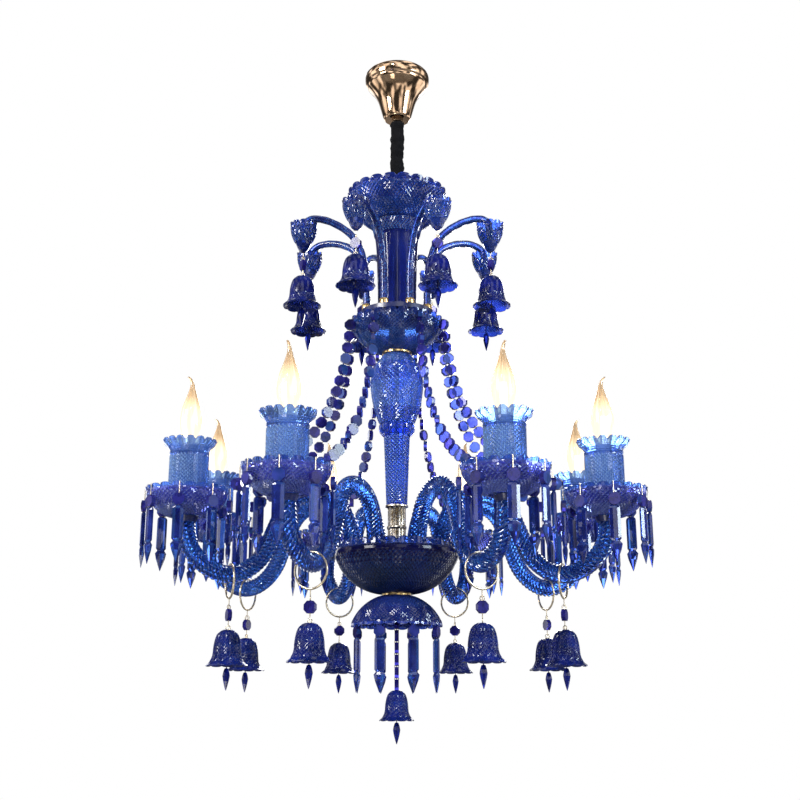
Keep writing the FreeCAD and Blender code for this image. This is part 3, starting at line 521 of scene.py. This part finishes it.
blued = polished("blue_lacquer", (0.012, 0.02, 0.12), (0.006, 0.01, 0.06), grain=60, rough=(0.2, 0.4),
                 bump=0.1, coat=0.3)
paint_node("upper_hub", blued)
gilt = polished("gilt_trim", (0.8, 0.58, 0.28), (0.5, 0.33, 0.14), grain=90, rough=(0.15, 0.3),
                bump=0.1, metal=1.0)
UPPER = [22.5 + 45 * step for step in range(8)]


def copy_at(piece, name, place):
    """A copy with its own mesh at a place, turned and moved in its mesh."""
    bpy.ops.object.select_all(action="DESELECT")
    piece.select_set(True)
    bpy.context.view_layer.objects.active = piece
    bpy.ops.object.duplicate()
    twin = bpy.context.object
    twin.name = name
    twin.matrix_world = place
    bpy.ops.object.transform_apply(location=True, rotation=True, scale=True)
    return twin


def copies_at(piece, name, places):
    """Copies of a piece at several places, joined into one, with the first one removed."""
    twins = [copy_at(piece, name, place) for place in places]
    bpy.data.objects.remove(piece)
    return join(name, twins)


def facing(bearing):
    """The turn that carries the +X side to a bearing counted from the front."""
    return Matrix.Rotation(math.radians(bearing - 90), 4, "Z")


ferrule = draw_shell("ferrule", 24, [
    (6.1, -439.9), (8, -439.7), (8.2, -437.5), (7.2, -436.5), (7.2, -433.6), (7.8, -432.8),
    (7.4, -431.6), (6.1, -431.4),
])
smooth_by(ferrule, 40)
ferrules = copies_at(ferrule, "upper_ferrules",
                     [facing(bearing) @ Matrix.Translation((53.5 * MM, 0, 0)) for bearing in UPPER])
paint(ferrules, gilt)
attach(ferrules, "chandelier")

# ---------------------------------------------------------------- upper bowl and its gold ring
# A small bowl of diamond-cut glass with a rim of round lobes catches the swags' top ends.
# It rests on a thin gilt ring at the neck of the baluster.

upper_bowl_levels = [(77, -453), (76.4, -456), (75.6, -459), (74.8, -462)]
upper_bowl_levels += arc((74.8, -462), (62, -483), (24, -507), 24)
upper_bowl_sides = 144
upper_bowl = draw_shell("upper_bowl_glass", upper_bowl_sides, upper_bowl_levels)
scallop(upper_bowl, upper_bowl_sides, 24, ((0, 1), (1, 0.8), (2, 0.5), (3, 0.2)), 4.2, 0.035)
cut_diamonds(upper_bowl, upper_bowl_sides, 3, 26, 1.0)
thicken(upper_bowl, 3.4)
paint(upper_bowl, cobalt)
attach(upper_bowl, "chandelier")
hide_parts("upper_bowl")
paint_node("neck_ring", gilt)
paint_node("spacer_ring", gilt)

# ---------------------------------------------------------------- baluster, collar and stem tube
# Three turned and diamond-cut glass pieces are threaded on the rod: a pear-shaped baluster,
# a collar of rounded lobes, and a slim tapered tube.

baluster_levels = [(19, -510.2)] + arc((19, -510.2), (35, -532), (41.6, -561), 16)
baluster_levels += arc((41.6, -561), (37, -595), (27, -626), 19)
stem_sides = 72
baluster = draw_shell("baluster_glass", stem_sides, baluster_levels)
cut_diamonds(baluster, stem_sides, 1, 34, 1.4, 0.8)
thicken(baluster, 3.6)
collar = draw_shell("collar_glass", stem_sides, [
    (26.4, -626.4), (28.6, -629), (29.6, -632.4), (29.6, -636), (28.4, -639.4), (25.6, -643),
    (22, -646.6),
])
collar_shares = ((0, 0.6), (1, 0.9), (2, 1), (3, 1), (4, 1), (5, 0.8), (6, 0.5))
scallop(collar, stem_sides, 12, collar_shares, 0, 0.16)
thicken(collar, 3)
tube_sides = tube_rows = 36
tube_levels = [(20 - 4.3 * step / tube_rows, -647.2 - 110.4 * step / tube_rows)
               for step in range(tube_rows + 1)]
tube = draw_shell("tube_glass", tube_sides, tube_levels)
cut_diamonds(tube, tube_sides, 1, tube_rows - 1, 1.1, 1.0)
thicken(tube, 3)
stem_blue = tinted("stem_glass", (0.024, 0.065, 0.46), (0.06, 0.15, 0.8), grain=20, rough=(0.0, 0.08),
                   bump=0.06, through=0.7, bend=1.52, glint=(0.3, 0.54, 1.0))
stem_pieces = ((baluster, "baluster"), (collar, "glass_collar"), (tube, "stem_tube"))
for piece, node in stem_pieces:
    paint(piece, stem_blue)
    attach(piece, "chandelier")
    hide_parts(node)

# ---------------------------------------------------------------- metal column and arm hub
# A reeded column of silvered brass carries the round hub that the arms screw into.
# The hub sits down in the main bowl, out of sight from below.

column_sides = 72
column = draw_shell("reeded_column", column_sides, [
    (14, -758), (17.8, -758.2), (18, -760.4), (15, -761.6), (14.4, -764), (14.4, -790), (15, -791),
    (15.6, -793), (15, -795), (14.4, -796), (14.4, -826), (15.2, -827.6), (15.2, -830.6),
    (14.6, -832), (14.6, -834.8), (6, -834.9),
])
scallop(column, column_sides, 12, ((4, 1), (5, 1), (9, 1), (10, 1)), 0, 0.16)
thicken(column, 1.6)
smooth_by(column, 24)
silvered = polished("silvered_brass", (0.78, 0.74, 0.66), (0.34, 0.27, 0.18), grain=55,
                    rough=(0.12, 0.34), bump=0.12, metal=1.0)
paint(column, silvered)
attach(column, "chandelier")
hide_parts("metal_column")
for node in ("arm_hub", "end_nut"):
    paint_node(node, dark_bronze)
paint_node("arm_fittings", blued)

# ---------------------------------------------------------------- main bowl and lower dish
# The main bowl is thick, almost black navy glass with a scalloped rim and horizontal bands.
# Under it, past a gilt spacer, a diamond-cut dish faces down and carries a ring of prisms.

bowl_levels = [(93.4, -818), (94.2, -821), (94.8, -824.4), (95.4, -828), (94.2, -829.6), (95.6, -832)]
bowl_levels += [(96, -836)] + arc((96, -836), (70, -876), (20, -895), 26)
bowl_sides = 168
main_bowl = draw_shell("main_bowl_glass", bowl_sides, bowl_levels)
scallop(main_bowl, bowl_sides, 28, ((0, 1), (1, 0.8), (2, 0.5), (3, 0.2)), 4.4, 0.03)
for row in (10, 15, 20):
    pick_points(main_bowl, bowl_sides, lambda r, s: r == row)
    bpy.ops.transform.shrink_fatten(value=-0.5 * MM)
    bpy.ops.object.mode_set(mode="OBJECT")
cut_diamonds(main_bowl, bowl_sides, 7, 30, 0.6, 0.08)
thicken(main_bowl, 4)
navy = tinted("navy_glass", (0.003, 0.003, 0.024), (0.006, 0.007, 0.07), grain=18, rough=(0.04, 0.14),
              bump=0.06, through=0.3, bend=1.45, shine=0.12)
dish_levels = [(16, -899.2)] + arc((16, -899.2), (50, -916), (66, -939), 24)
dish_levels += [(66.6, -941.6), (67, -945)]
dish_sides = 144
dish = draw_shell("lower_dish_glass", dish_sides, dish_levels)
scallop(dish, dish_sides, 24, ((26, 1), (25, 0.7), (24, 0.35)), -4, 0.035)
cut_diamonds(dish, dish_sides, 1, 24, 1.0, 0.12)
thicken(dish, 3.4)
paint(main_bowl, navy)
paint(dish, deep_cobalt)


def band(piece, material, bottom, top):
    """Puts a second material on the faces between two levels."""
    piece.data.materials.append(material)
    for face in piece.data.polygons:
        if bottom * MM < face.center.z < top * MM:
            face.material_index = 1


band(main_bowl, cobalt, -829.6, -800)
band(dish, stem_blue, -960, -940)
for piece, node in ((main_bowl, "main_bowl"), (dish, "lower_dish")):
    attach(piece, "chandelier")
    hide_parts(node)

# ---------------------------------------------------------------- main arms
# Each arm is a solid glass rope: a twelve-lobed bar twisted while hot, then bent into an S.
# Its inner end is cemented in the hub, and its outer end carries a metal fitting.

LIGHTS = [25.8, 67.5, 112.5, 157.5, -157.5, -112.5, -67.5, -25.8]
ARM_ROUTE = [(40.2, -850), (57, -850), (72, -829), (77, -793), (98, -759), (139, -745), (177, -761),
             (196, -806), (216, -856), (260, -882), (306, -864), (330, -830), (330, -804)]


def bend_along(bar_name, sides, radius, lobe, steps, turns, route):
    """A straight bar drawn along X, twisted, and then bent along a route in the XZ plane."""
    line = bpy.data.curves.new(bar_name + "_route", "CURVE")
    line.dimensions = "3D"
    line.resolution_u = 24
    spline = line.splines.new("NURBS")
    spline.points.add(len(route) - 1)
    for point, (x, z) in zip(spline.points, route):
        point.co = (x * MM, 0, z * MM, 1)
    spline.order_u = 3
    spline.use_endpoint_u = True
    path = bpy.data.objects.new(bar_name + "_route", line)
    bpy.context.collection.objects.link(path)
    bpy.context.view_layer.update()
    traced = bpy.data.meshes.new_from_object(path)
    spots = [vertex.co for vertex in traced.vertices]
    reach = sum((after - before).length for before, after in zip(spots, spots[1:]))
    bpy.data.meshes.remove(traced)
    bpy.ops.object.select_all(action="DESELECT")
    bpy.ops.mesh.primitive_circle_add(vertices=sides, radius=radius * MM, rotation=(0, math.pi / 2, 0))
    bar = bpy.context.object
    bar.name = bar_name
    bpy.ops.object.transform_apply(rotation=True)
    for phase, swell in enumerate(lobe):
        pick_points(bar, sides, lambda row, side: side % len(lobe) == phase)
        bpy.ops.transform.resize(value=(1, swell, swell), center_override=(0, 0, 0))
        bpy.ops.object.mode_set(mode="OBJECT")
    bpy.ops.object.mode_set(mode="EDIT")
    bpy.ops.mesh.select_all(action="SELECT")
    bpy.ops.mesh.extrude_region_move(TRANSFORM_OT_translate={"value": (reach / steps, 0, 0)})
    bpy.ops.object.mode_set(mode="OBJECT")
    row = bar.modifiers.new("row", "ARRAY")
    row.count = steps
    row.use_merge_vertices = True
    row.merge_threshold = 0.0001
    bpy.ops.object.modifier_apply(modifier="row")
    twist = bar.modifiers.new("twist", "SIMPLE_DEFORM")
    twist.deform_method = "TWIST"
    twist.deform_axis = "X"
    twist.angle = turns * math.tau
    bpy.ops.object.modifier_apply(modifier="twist")
    bend = bar.modifiers.new("bend", "CURVE")
    bend.object = path
    bend.deform_axis = "POS_X"
    bpy.ops.object.modifier_apply(modifier="bend")
    pick_points(bar, sides, lambda row, side: True)
    bpy.ops.mesh.select_all(action="DESELECT")
    bpy.ops.mesh.select_mode(type="EDGE")
    bpy.ops.mesh.select_non_manifold()
    bpy.ops.mesh.fill_holes(sides=0)
    bpy.ops.mesh.select_all(action="SELECT")
    bpy.ops.mesh.fill_holes(sides=0)
    bpy.ops.mesh.normals_make_consistent(inside=False)
    bpy.ops.object.mode_set(mode="OBJECT")
    bpy.data.objects.remove(path)
    return bar



arm = bend_along("arm_bar", 36, 10.6, (1, 1.17, 1.25, 1.17), 150, 8, ARM_ROUTE)
# painted glints on a random few of the rope's facets
vary_facets(arm, 0.8)
arms = copies_at(arm, "twisted_arms", [facing(bearing) for bearing in LIGHTS])
arm_blue = tinted("rope_glass", (0.006, 0.022, 0.22), (0.03, 0.11, 0.52), grain=28, rough=(0.0, 0.06),
                  bump=0.05, through=0.75, bend=1.52)
paint(arms, arm_blue)
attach(arms, "chandelier")
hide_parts(*[f"arm_{number}" for number in range(1, 9)])

# ---------------------------------------------------------------- bobeches
# A drip dish of pressed glass sits on each arm's fitting: a shallow diamond-cut bowl
# with twenty round lobes on its rim, which is bored for the wires of the prisms.

OUT = 330


def at_light(bearing):
    return facing(bearing) @ Matrix.Translation((OUT * MM, 0, 0))


bobeche_levels = [(61, -755), (60.4, -757.6), (59.8, -760.4), (58.4, -763.4)]
bobeche_levels += arc((58.4, -763.4), (48, -781), (24, -796), 15)
bobeche_sides = 100
bobeche = draw_shell("bobeche", bobeche_sides, bobeche_levels)
scallop(bobeche, bobeche_sides, 20, ((0, 1), (1, 0.8), (2, 0.5), (3, 0.2)), 4.2, 0.045)
cut_diamonds(bobeche, bobeche_sides, 4, 17, 1.4, 0.9)
thicken(bobeche, 3)
bobeches = copies_at(bobeche, "bobeche_glass", [at_light(bearing) for bearing in LIGHTS])
dish_blue = tinted("bobeche_blue", (0.03, 0.04, 0.34), (0.09, 0.11, 0.62), grain=20, rough=(0.0, 0.08),
                   bump=0.06, through=0.72, bend=1.52, glint=(0.42, 0.56, 1.0))
paint(bobeches, dish_blue)
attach(bobeches, "chandelier")
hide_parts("bobeches")

# ---------------------------------------------------------------- candle cups and sockets
# A tall diamond-cut glass cup with a flared rim of sixteen lobes hides each lamp socket.
# The socket is a white moulded tube that stands on the fitting.

cup_levels = [(40, -683), (38.6, -686), (36.4, -689), (33.6, -692), (31, -695), (29.2, -698)]
cup_levels += [(28.2, -700.4), (29.2, -701.6), (28, -702.8), (29, -704), (27.7, -705.4)]
cup_radius, row_height = 27.7, 2.78
cup_levels += [(cup_radius, -705.4 - row_height * step) for step in range(1, 29)]
cup_levels += [(25.4, -786.6), (21.6, -789.8), (18, -792)]
cup_sides = 64
cup = draw_shell("cup", cup_sides, cup_levels)
scallop(cup, cup_sides, 16, ((0, 1), (1, 0.75), (2, 0.45), (3, 0.2)), 5, 0.06)
cut_diamonds(cup, cup_sides, 11, 37, 1.4, 1.0)
thicken(cup, 2.6)
cups = copies_at(cup, "candle_cup_glass", [at_light(bearing) for bearing in LIGHTS])
azure = tinted("azure_cup_glass", (0.04, 0.11, 0.48), (0.12, 0.27, 0.85), grain=24, rough=(0.0, 0.08),
               bump=0.06, through=0.75, bend=1.5, glint=(0.42, 0.68, 1.0))
paint(cups, azure)
band(bobeches, azure, -761, -750)
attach(cups, "chandelier")
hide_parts("candle_cups")
moulded_white = polished("moulded_white", (0.8, 0.79, 0.76), (0.7, 0.68, 0.63), grain=140,
                         rough=(0.35, 0.5), bump=0.1)
paint_node("lamp_sockets", moulded_white)

# ---------------------------------------------------------------- candle bulbs
# Bent-tip candle bulbs of blown glass stand lit in the sockets. Their lower part glows
# warm white, and the thin tail that the glass was drawn to is clear amber.


def close_rows(piece, sides, rows, outward=True):
    """Closes the ends of a shell with a face over each of the named rows."""
    pick_points(piece, sides, lambda row, side: row in rows)
    bpy.ops.mesh.select_mode(type="EDGE")
    bpy.ops.mesh.edge_face_add()
    if outward:
        bpy.ops.mesh.select_all(action="SELECT")
        bpy.ops.mesh.normals_make_consistent(inside=False)
    bpy.ops.mesh.select_mode(type="VERT")
    bpy.ops.object.mode_set(mode="OBJECT")


bulb_levels = [(12, -690), (12.6, -684), (14, -677), (16, -669), (17.3, -660), (17.5, -652)]
bulb_levels += [(16.6, -643), (14.6, -634), (12, -626), (9.2, -618), (6.8, -611), (5, -605)]
bulb_levels += [(3.8, -600)]
bulb = draw_shell("bulb", 32, bulb_levels)
pick_points(bulb, 32, lambda row, side: row == len(bulb_levels) - 1)
for slide, rise, shrink in ((0.6, 4.4, 0.8), (1.4, 4.2, 0.8), (2.4, 3.6, 0.85), (2.6, 2.2, 0.8)):
    bpy.ops.mesh.extrude_region_move(TRANSFORM_OT_translate={"value": (slide * MM, 0, rise * MM)})
    bpy.ops.transform.resize(value=(shrink, shrink, shrink))
bpy.ops.mesh.edge_face_add()
bpy.ops.object.mode_set(mode="OBJECT")
close_rows(bulb, 32, (0,))
bulbs = copies_at(bulb, "candle_bulbs_glass", [at_light(bearing) for bearing in LIGHTS])
smooth_by(bulbs, 50)
glow = bpy.data.materials.new("lit_bulb")
glow.use_nodes = True
glow_tree = glow.node_tree
glow_shader = glow_tree.nodes["Principled BSDF"]
glow_shader.inputs["Transmission Weight"].default_value = 0.6
glow_shader.inputs["Emission Strength"].default_value = 0.62
glow_place = add_node(glow_tree, "TexCoord")
glow_axes = add_node(glow_tree, "SeparateXYZ")
glow_range = add_node(glow_tree, "MapRange", {"From Min": -0.69, "From Max": -0.58})
glow_ramp = add_node(glow_tree, "ValToRGB")
glow_ramp.color_ramp.elements[0].color = (1.0, 0.90, 0.72, 1)
glow_ramp.color_ramp.elements[1].color = (0.05, 0.03, 0.015, 1)
glow_ramp.color_ramp.elements.new(0.46).color = (1.0, 0.84, 0.60, 1)
glow_ramp.color_ramp.elements.new(0.68).color = (0.22, 0.14, 0.08, 1)
glass_ramp = add_node(glow_tree, "ValToRGB")
glass_ramp.color_ramp.elements[0].color = (0.92, 0.72, 0.45, 1)
glass_ramp.color_ramp.elements[1].color = (0.50, 0.36, 0.22, 1)
frost = add_node(glow_tree, "TexNoise", {"Scale": 200})
frost_range = add_node(glow_tree, "MapRange", {"To Min": 0.02, "To Max": 0.12})
wire(glow_tree, [
    (glow_place, "Object", glow_axes, 0), (glow_axes, "Z", glow_range, "Value"),
    (glow_range, "Result", glow_ramp, "Fac"), (glow_range, "Result", glass_ramp, "Fac"),
    (glow_ramp, "Color", glow_shader, "Emission Color"),
    (glass_ramp, "Color", glow_shader, "Base Color"), (glow_place, "Object", frost, "Vector"),
    (frost, "Fac", frost_range, "Value"), (frost_range, "Result", glow_shader, "Roughness"),
])
paint(bulbs, glow)
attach(bulbs, "chandelier")
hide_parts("bulbs")

# ---------------------------------------------------------------- upper tier arms and trumpets
# Eight slim drawn-glass arms rise from the upper hub and curl over. Each ends in a small
# ribbed trumpet that opens upwards, with a cut point below it.

UPPER_OUT = 163
UPPER_ROUTE = [(53.5, -440), (53.5, -398), (59, -349), (76, -315), (107, -298), (138, -293),
               (160, -301), (163, -323), (163, -333)]
slim_arm = bend_along("slim_bar", 16, 5.7, (1, 1.06), 90, 1.5, UPPER_ROUTE)
# painted glints on a random few of the slim arm's facets
vary_facets(slim_arm, 0.5)
slim_arms = copies_at(slim_arm, "upper_arm_glass", [facing(bearing) for bearing in UPPER])
smooth_by(slim_arms, 40)
paint(slim_arms, deep_cobalt)
trumpet_sides = 60
trumpet = draw_shell("trumpet", trumpet_sides, [
    (22.5, -308), (22, -310.6), (21.4, -313.4), (21, -316.6), (20.6, -320), (20, -323.4), (19.2, -327),
    (18, -330.6), (16.6, -334), (15, -337.6), (13.4, -341),
])
trumpet_shares = ((0, 1), (1, 0.8), (2, 0.6), (3, 0.5), (4, 0.4), (5, 0.35), (6, 0.3))
scallop(trumpet, trumpet_sides, 10, trumpet_shares, 3, 0.08)
cut_diamonds(trumpet, trumpet_sides, 3, 9, 0.7)
thicken(trumpet, 2)
tip = draw_shell("trumpet_tip", 12, [
    (6, -338), (13.2, -340.4), (11.6, -344.6), (10.2, -348.6), (7.6, -353.4), (4.4, -356.8), (1, -358),
])
close_rows(tip, 12, (0, 6), outward=False)
trumpet = join("trumpet", [trumpet, tip])
upper_places = [facing(bearing) @ Matrix.Translation((UPPER_OUT * MM, 0, 0)) for bearing in UPPER]
trumpets = copies_at(trumpet, "trumpet_glass", upper_places)
paint(trumpets, cobalt)
for piece, node, finish in ((slim_arms, "upper_arms", "arm_glass"),
                            (trumpets, "trumpet_cups", "cobalt_glass")):
    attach(piece, "chandelier")
    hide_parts(node)

# ---------------------------------------------------------------- beads and spear prisms
# Octagonal cut beads and long spear prisms hang from wire pins on the bobeches and the dish.
# Each prism is a bevelled plate with a notch above its arrowhead point.

bpy.ops.object.select_all(action="DESELECT")
bpy.ops.mesh.primitive_cylinder_add(vertices=8, radius=5.9 * MM, depth=1.4 * MM,
                                    rotation=(0, 0, math.pi / 8))
bead = bpy.context.object
bead.name = "bead"
bpy.ops.object.transform_apply(rotation=True)
bpy.ops.object.mode_set(mode="EDIT")
bpy.ops.mesh.select_all(action="DESELECT")
bpy.ops.object.mode_set(mode="OBJECT")
for face in bead.data.polygons:
    face.select = abs(face.normal.z) > 0.9
bpy.ops.object.mode_set(mode="EDIT")
bpy.ops.mesh.select_mode(type="FACE")
bpy.ops.mesh.inset(thickness=1.7 * MM, depth=1.9 * MM)
bpy.ops.mesh.inset(thickness=1.3 * MM, depth=0.8 * MM)
bpy.ops.mesh.select_all(action="DESELECT")
bpy.ops.mesh.select_mode(type="VERT")
bpy.ops.object.mode_set(mode="OBJECT")

prism = draw_shell("prism", 8, [
    (1.8, 5.2, 0), (3.2, 7.6, -2), (3.6, 8.4, -4.5), (3.6, 8.4, -47), (2.8, 6.2, -49.6),
    (2.8, 6.2, -50.6), (3.78, 9.6, -54.4), (3.2, 7.4, -63), (0.3, 0.4, -80),
], math.pi / 8)
close_rows(prism, 8, (0, 8))

bobeche_places = []
for bearing in LIGHTS:
    for step in range(8):
        spin = Matrix.Rotation(math.radians(22.5 + 45 * step), 4, "Z")
        bobeche_places.append(at_light(bearing) @ spin @ Matrix.Translation((62 * MM, 0, -780.8 * MM)))
dish_places = [facing(bearing) @ Matrix.Translation((65 * MM, 0, -953.8 * MM)) for bearing in UPPER]
drop_places = bobeche_places + dish_places
upright = Matrix.Rotation(math.pi / 2, 4, "Y")
bead_places = [place @ upright for place in drop_places]
prism_places = [place @ Matrix.Translation((0, 0, -8.8 * MM)) for place in drop_places]
prisms = copies_at(prism, "spear_prisms", prism_places)
drop_beads = join("drop_bead_glass", [copy_at(bead, "drop_bead", place) for place in bead_places])
violet = tinted("bead_glass", (0.01, 0.009, 0.12), (0.05, 0.045, 0.36), grain=60, rough=(0.0, 0.04),
                bump=0.03, through=0.5, bend=1.45, shine=0.1)
royal = tinted("prism_glass", (0.01, 0.018, 0.18), (0.04, 0.07, 0.42), grain=45, rough=(0.0, 0.04),
               bump=0.03, through=0.7, bend=1.52, shine=0.3)
paint(prisms, royal)
paint(drop_beads, violet)
# painted glints on a random few facets of the prisms and beads
vary_facets(prisms, 0.5)
vary_facets(drop_beads, 0.3)
for piece, node, finish in ((prisms, "drop_prisms", "prism_glass"),
                            (drop_beads, "drop_beads", "bead_glass")):
    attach(piece, "chandelier")
    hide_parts(node)
pale_wire = polished("pale_gold_wire", (0.8, 0.7, 0.52), (0.58, 0.48, 0.34), grain=200,
                     rough=(0.15, 0.35), bump=0.05, metal=1.0)
paint_node("drop_pins", pale_wire)
paint_node("swag_pins", pale_wire)

# ---------------------------------------------------------------- bead swags
# Eight chains of the same beads hang in a curve from the upper bowl's rim to the inner
# rim of each bobeche. Short wire links join one bead to the next.

SWAG = ((81, -460), (93, -690), (268, -746))
swag_spots = []
swag_steps = 400
for step in range(swag_steps + 1):
    share = step / swag_steps
    x, z = (SWAG[0][axis] * (1 - share) ** 2 + SWAG[1][axis] * 2 * share * (1 - share)
            + SWAG[2][axis] * share ** 2 for axis in (0, 1))
    swag_spots.append((x, z))
run = [0.0]
for before, after in zip(swag_spots, swag_spots[1:]):
    run.append(run[-1] + math.dist(before, after))
bead_gap = 19.5
bead_count = round(run[-1] / bead_gap)
swag_row = []
for number in range(bead_count):
    wanted_run = run[-1] * (number + 0.5) / bead_count
    nearest = min(range(swag_steps + 1), key=lambda index: abs(run[index] - wanted_run))
    swag_row.append(swag_spots[nearest])
swag_places = []
on_edge = Matrix.Rotation(math.pi / 2, 4, "X")
for bearing in LIGHTS:
    for x, z in swag_row:
        turn = Matrix.Rotation(random.uniform(-0.6, 0.6), 4, "Z") @ on_edge
        swag_places.append(facing(bearing) @ Matrix.Translation((x * MM, 0, z * MM)) @ turn)
swag_beads = join("swag_bead_glass", [copy_at(bead, "swag_bead", place) for place in swag_places])
paint(swag_beads, violet)
# painted glints on a random few facets of the swag beads
vary_facets(swag_beads, 0.3)
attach(swag_beads, "chandelier")
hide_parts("swag_beads")

# ---------------------------------------------------------------- bell pendants
# Small blown bells with a cut body and a lobed rim hang on wire: the lower ones from a
# round hoop over each arm, the upper ones from the trumpets. A glass spear is the clapper.


def add_ring(name, size, gauge, place, turn):
    """A closed ring of round wire."""
    bpy.ops.object.select_all(action="DESELECT")
    bpy.ops.mesh.primitive_torus_add(major_radius=size * MM, minor_radius=gauge * MM,
                                     major_segments=48, minor_segments=10,
                                     location=[part * MM for part in place], rotation=turn)
    ring = bpy.context.object
    ring.name = name
    bpy.ops.object.transform_apply(location=True, rotation=True)
    return ring


def add_pin(name, top, foot):
    """A straight wire pin along the axis, with a small swelling at each end."""
    pin = draw_shell(name, 8, [(0.3, top), (0.9, top - 0.3), (0.7, top - 0.8), (0.7, foot + 0.8),
                               (0.9, foot + 0.3), (0.3, foot)])
    close_rows(pin, 8, (0, 5))
    return pin


BELL_SIDES, CLAPPER_DROP = 60, 52
bell_rows = [(2, 0), (6.6, -0.2), (9.6, -1.6), (12.4, -4), (14.6, -7), (16, -10.4)]
bell_rows += arc((16, -10.4), (18.2, -21.4), (18.8, -29), 8)
bell_rows += arc((18.8, -29), (22.4, -42.4), (29.5, -50), 10)
clapper_rows = [(1, 0), (3, -1), (4.6, -6), (5.5, -11), (4.2, -18), (2.4, -25), (0.5, -31)]


def make_bell(name, scale, cut):
    """A bell with its top at the origin and a clapper spear inside it."""
    rows = [(radius * scale, level * scale) for radius, level in bell_rows]
    bell = draw_shell(name, BELL_SIDES, rows)
    scallop(bell, BELL_SIDES, 10, ((23, 1), (22, 0.7), (21, 0.35)), -1.4 * scale, 0.03)
    close_rows(bell, BELL_SIDES, (0,), outward=False)
    cut_diamonds(bell, BELL_SIDES, cut[0], cut[1], 0.6, 0.12)
    thicken(bell, 1.6)
    rows = [(radius, level - CLAPPER_DROP * scale) for radius, level in clapper_rows]
    spear = draw_shell(name + "_spear", 8, rows)
    close_rows(spear, 8, (0, 6))
    return join(name, [bell, spear])


def lowered(piece, level):
    """Moves a piece down the axis to its own level."""
    bpy.ops.object.select_all(action="DESELECT")
    piece.select_set(True)
    bpy.context.view_layer.objects.active = piece
    bpy.ops.transform.translate(value=(0, 0, level * MM))
    bpy.ops.object.transform_apply(location=True)
    return piece


bell_blue = tinted("bell_glass", (0.003, 0.006, 0.09), (0.011, 0.022, 0.27), grain=40,
                   rough=(0.03, 0.14), bump=0.1, through=0.5, bend=1.45, shine=0.3)


def hang_pendants(kind, bearings, out, hang, bell_top, cut, with_hoop):
    """Models one pendant and hangs a copy of it at each bearing, on its own body."""
    middle = (hang + bell_top) / 2
    bell = lowered(make_bell(kind + "_bell", 1.0, cut), bell_top)
    wires = [add_pin(kind + "_pin", hang, middle + 5.8),
             add_pin(kind + "_foot_pin", middle - 5.8, bell_top),
             add_pin(kind + "_clapper_pin", bell_top - 1, bell_top - CLAPPER_DROP),
             add_ring(kind + "_eye", 3.2, 0.7, (0, 0, middle + 11.4), (math.pi / 2, 0, 0.6)),
             add_ring(kind + "_bell_eye", 3.2, 0.7, (0, 0, bell_top + 4.2), (math.pi / 2, 0, -0.5))]
    if with_hoop:
        wires.append(add_ring(kind + "_hoop", 24.6, 1.6, (0, 0, -886.39), (0, math.pi / 2, 0)))
    mount = join(kind + "_wire", wires)
    for number, bearing in enumerate(bearings, 1):
        place = facing(bearing) @ Matrix.Translation((out * MM, 0, 0))
        node = f"{kind}_bell_{number}"
        glass = copy_at(bell, f"{kind}_bell_glass_{number}", place)
        bead_place = place @ Matrix.Translation((0, 0, middle * MM)) @ upright
        drop = copy_at(bead, f"{kind}_bell_bead_{number}", bead_place)
        metal = copy_at(mount, f"{kind}_bell_wire_{number}", place)
        smooth_by(metal, 60)
        for piece, finish, material in ((glass, "bell_glass", bell_blue), (drop, "bead_glass", violet),
                                        (metal, "wire_metal", pale_wire)):
            paint(piece, material)
            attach(piece, f"{kind}_pendant_{number}")
            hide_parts(node)
    bpy.data.objects.remove(bell)
    bpy.data.objects.remove(mount)


hang_pendants("lower", LIGHTS, 262, -912.6, -957, (4, 19), True)
hang_pendants("upper", UPPER, UPPER_OUT, -358.3, -400, (14, 19), False)

# ---------------------------------------------------------------- centre pendant
# A string of six beads hangs from the ring under the end nut, and carries a smaller bell.
# It swings freely on that ring.

string_levels = [-939.6 - 18.25 * step for step in range(6)]
string_places = [Matrix.Translation((0, 0, level * MM)) @ upright for level in string_levels]
string = join("centre_bead_glass", [copy_at(bead, "string_bead", place) for place in string_places])
string_wires = [add_ring("string_link", 5, 1.3, (0, 0, -925.6), (0, math.pi / 2, 0))]
for middle in string_levels:
    string_wires.append(add_pin("string_pin", middle + 9.1, middle + 5.6))
    string_wires.append(add_pin("string_tail", middle - 5.6, middle - 9.1))
    string_wires.append(add_ring("string_eye", 3.1, 0.6, (0, 0, middle - 9.1), (math.pi / 2, 0, 0)))
centre_bell_top, centre_bell_scale = -1040, 0.86
clapper_foot = centre_bell_top - CLAPPER_DROP * centre_bell_scale
string_wires.append(add_pin("centre_clapper_pin", centre_bell_top - 1, clapper_foot))
string_wire = join("centre_pendant_wire", string_wires)
smooth_by(string_wire, 60)
centre_bell = lowered(make_bell("centre_bell_glass", centre_bell_scale, (4, 19)), centre_bell_top)
paint(string, violet)
paint(string_wire, pale_wire)
paint(centre_bell, bell_blue)
for piece, node, finish in ((string, "centre_string", "bead_glass"),
                            (string_wire, "centre_string", "wire_metal"),
                            (centre_bell, "centre_bell", "bell_glass")):
    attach(piece, "centre_pendant")
    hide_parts(node)
bpy.data.objects.remove(bead)

# ---------------------------------------------------------------- floor finish
# The studio floor is a matt grey board.

board = polished("pale_board", (0.3, 0.3, 0.3), (0.24, 0.24, 0.24), grain=3,
                 rough=(0.6, 0.8), bump=0.05)
paint(floor, board)
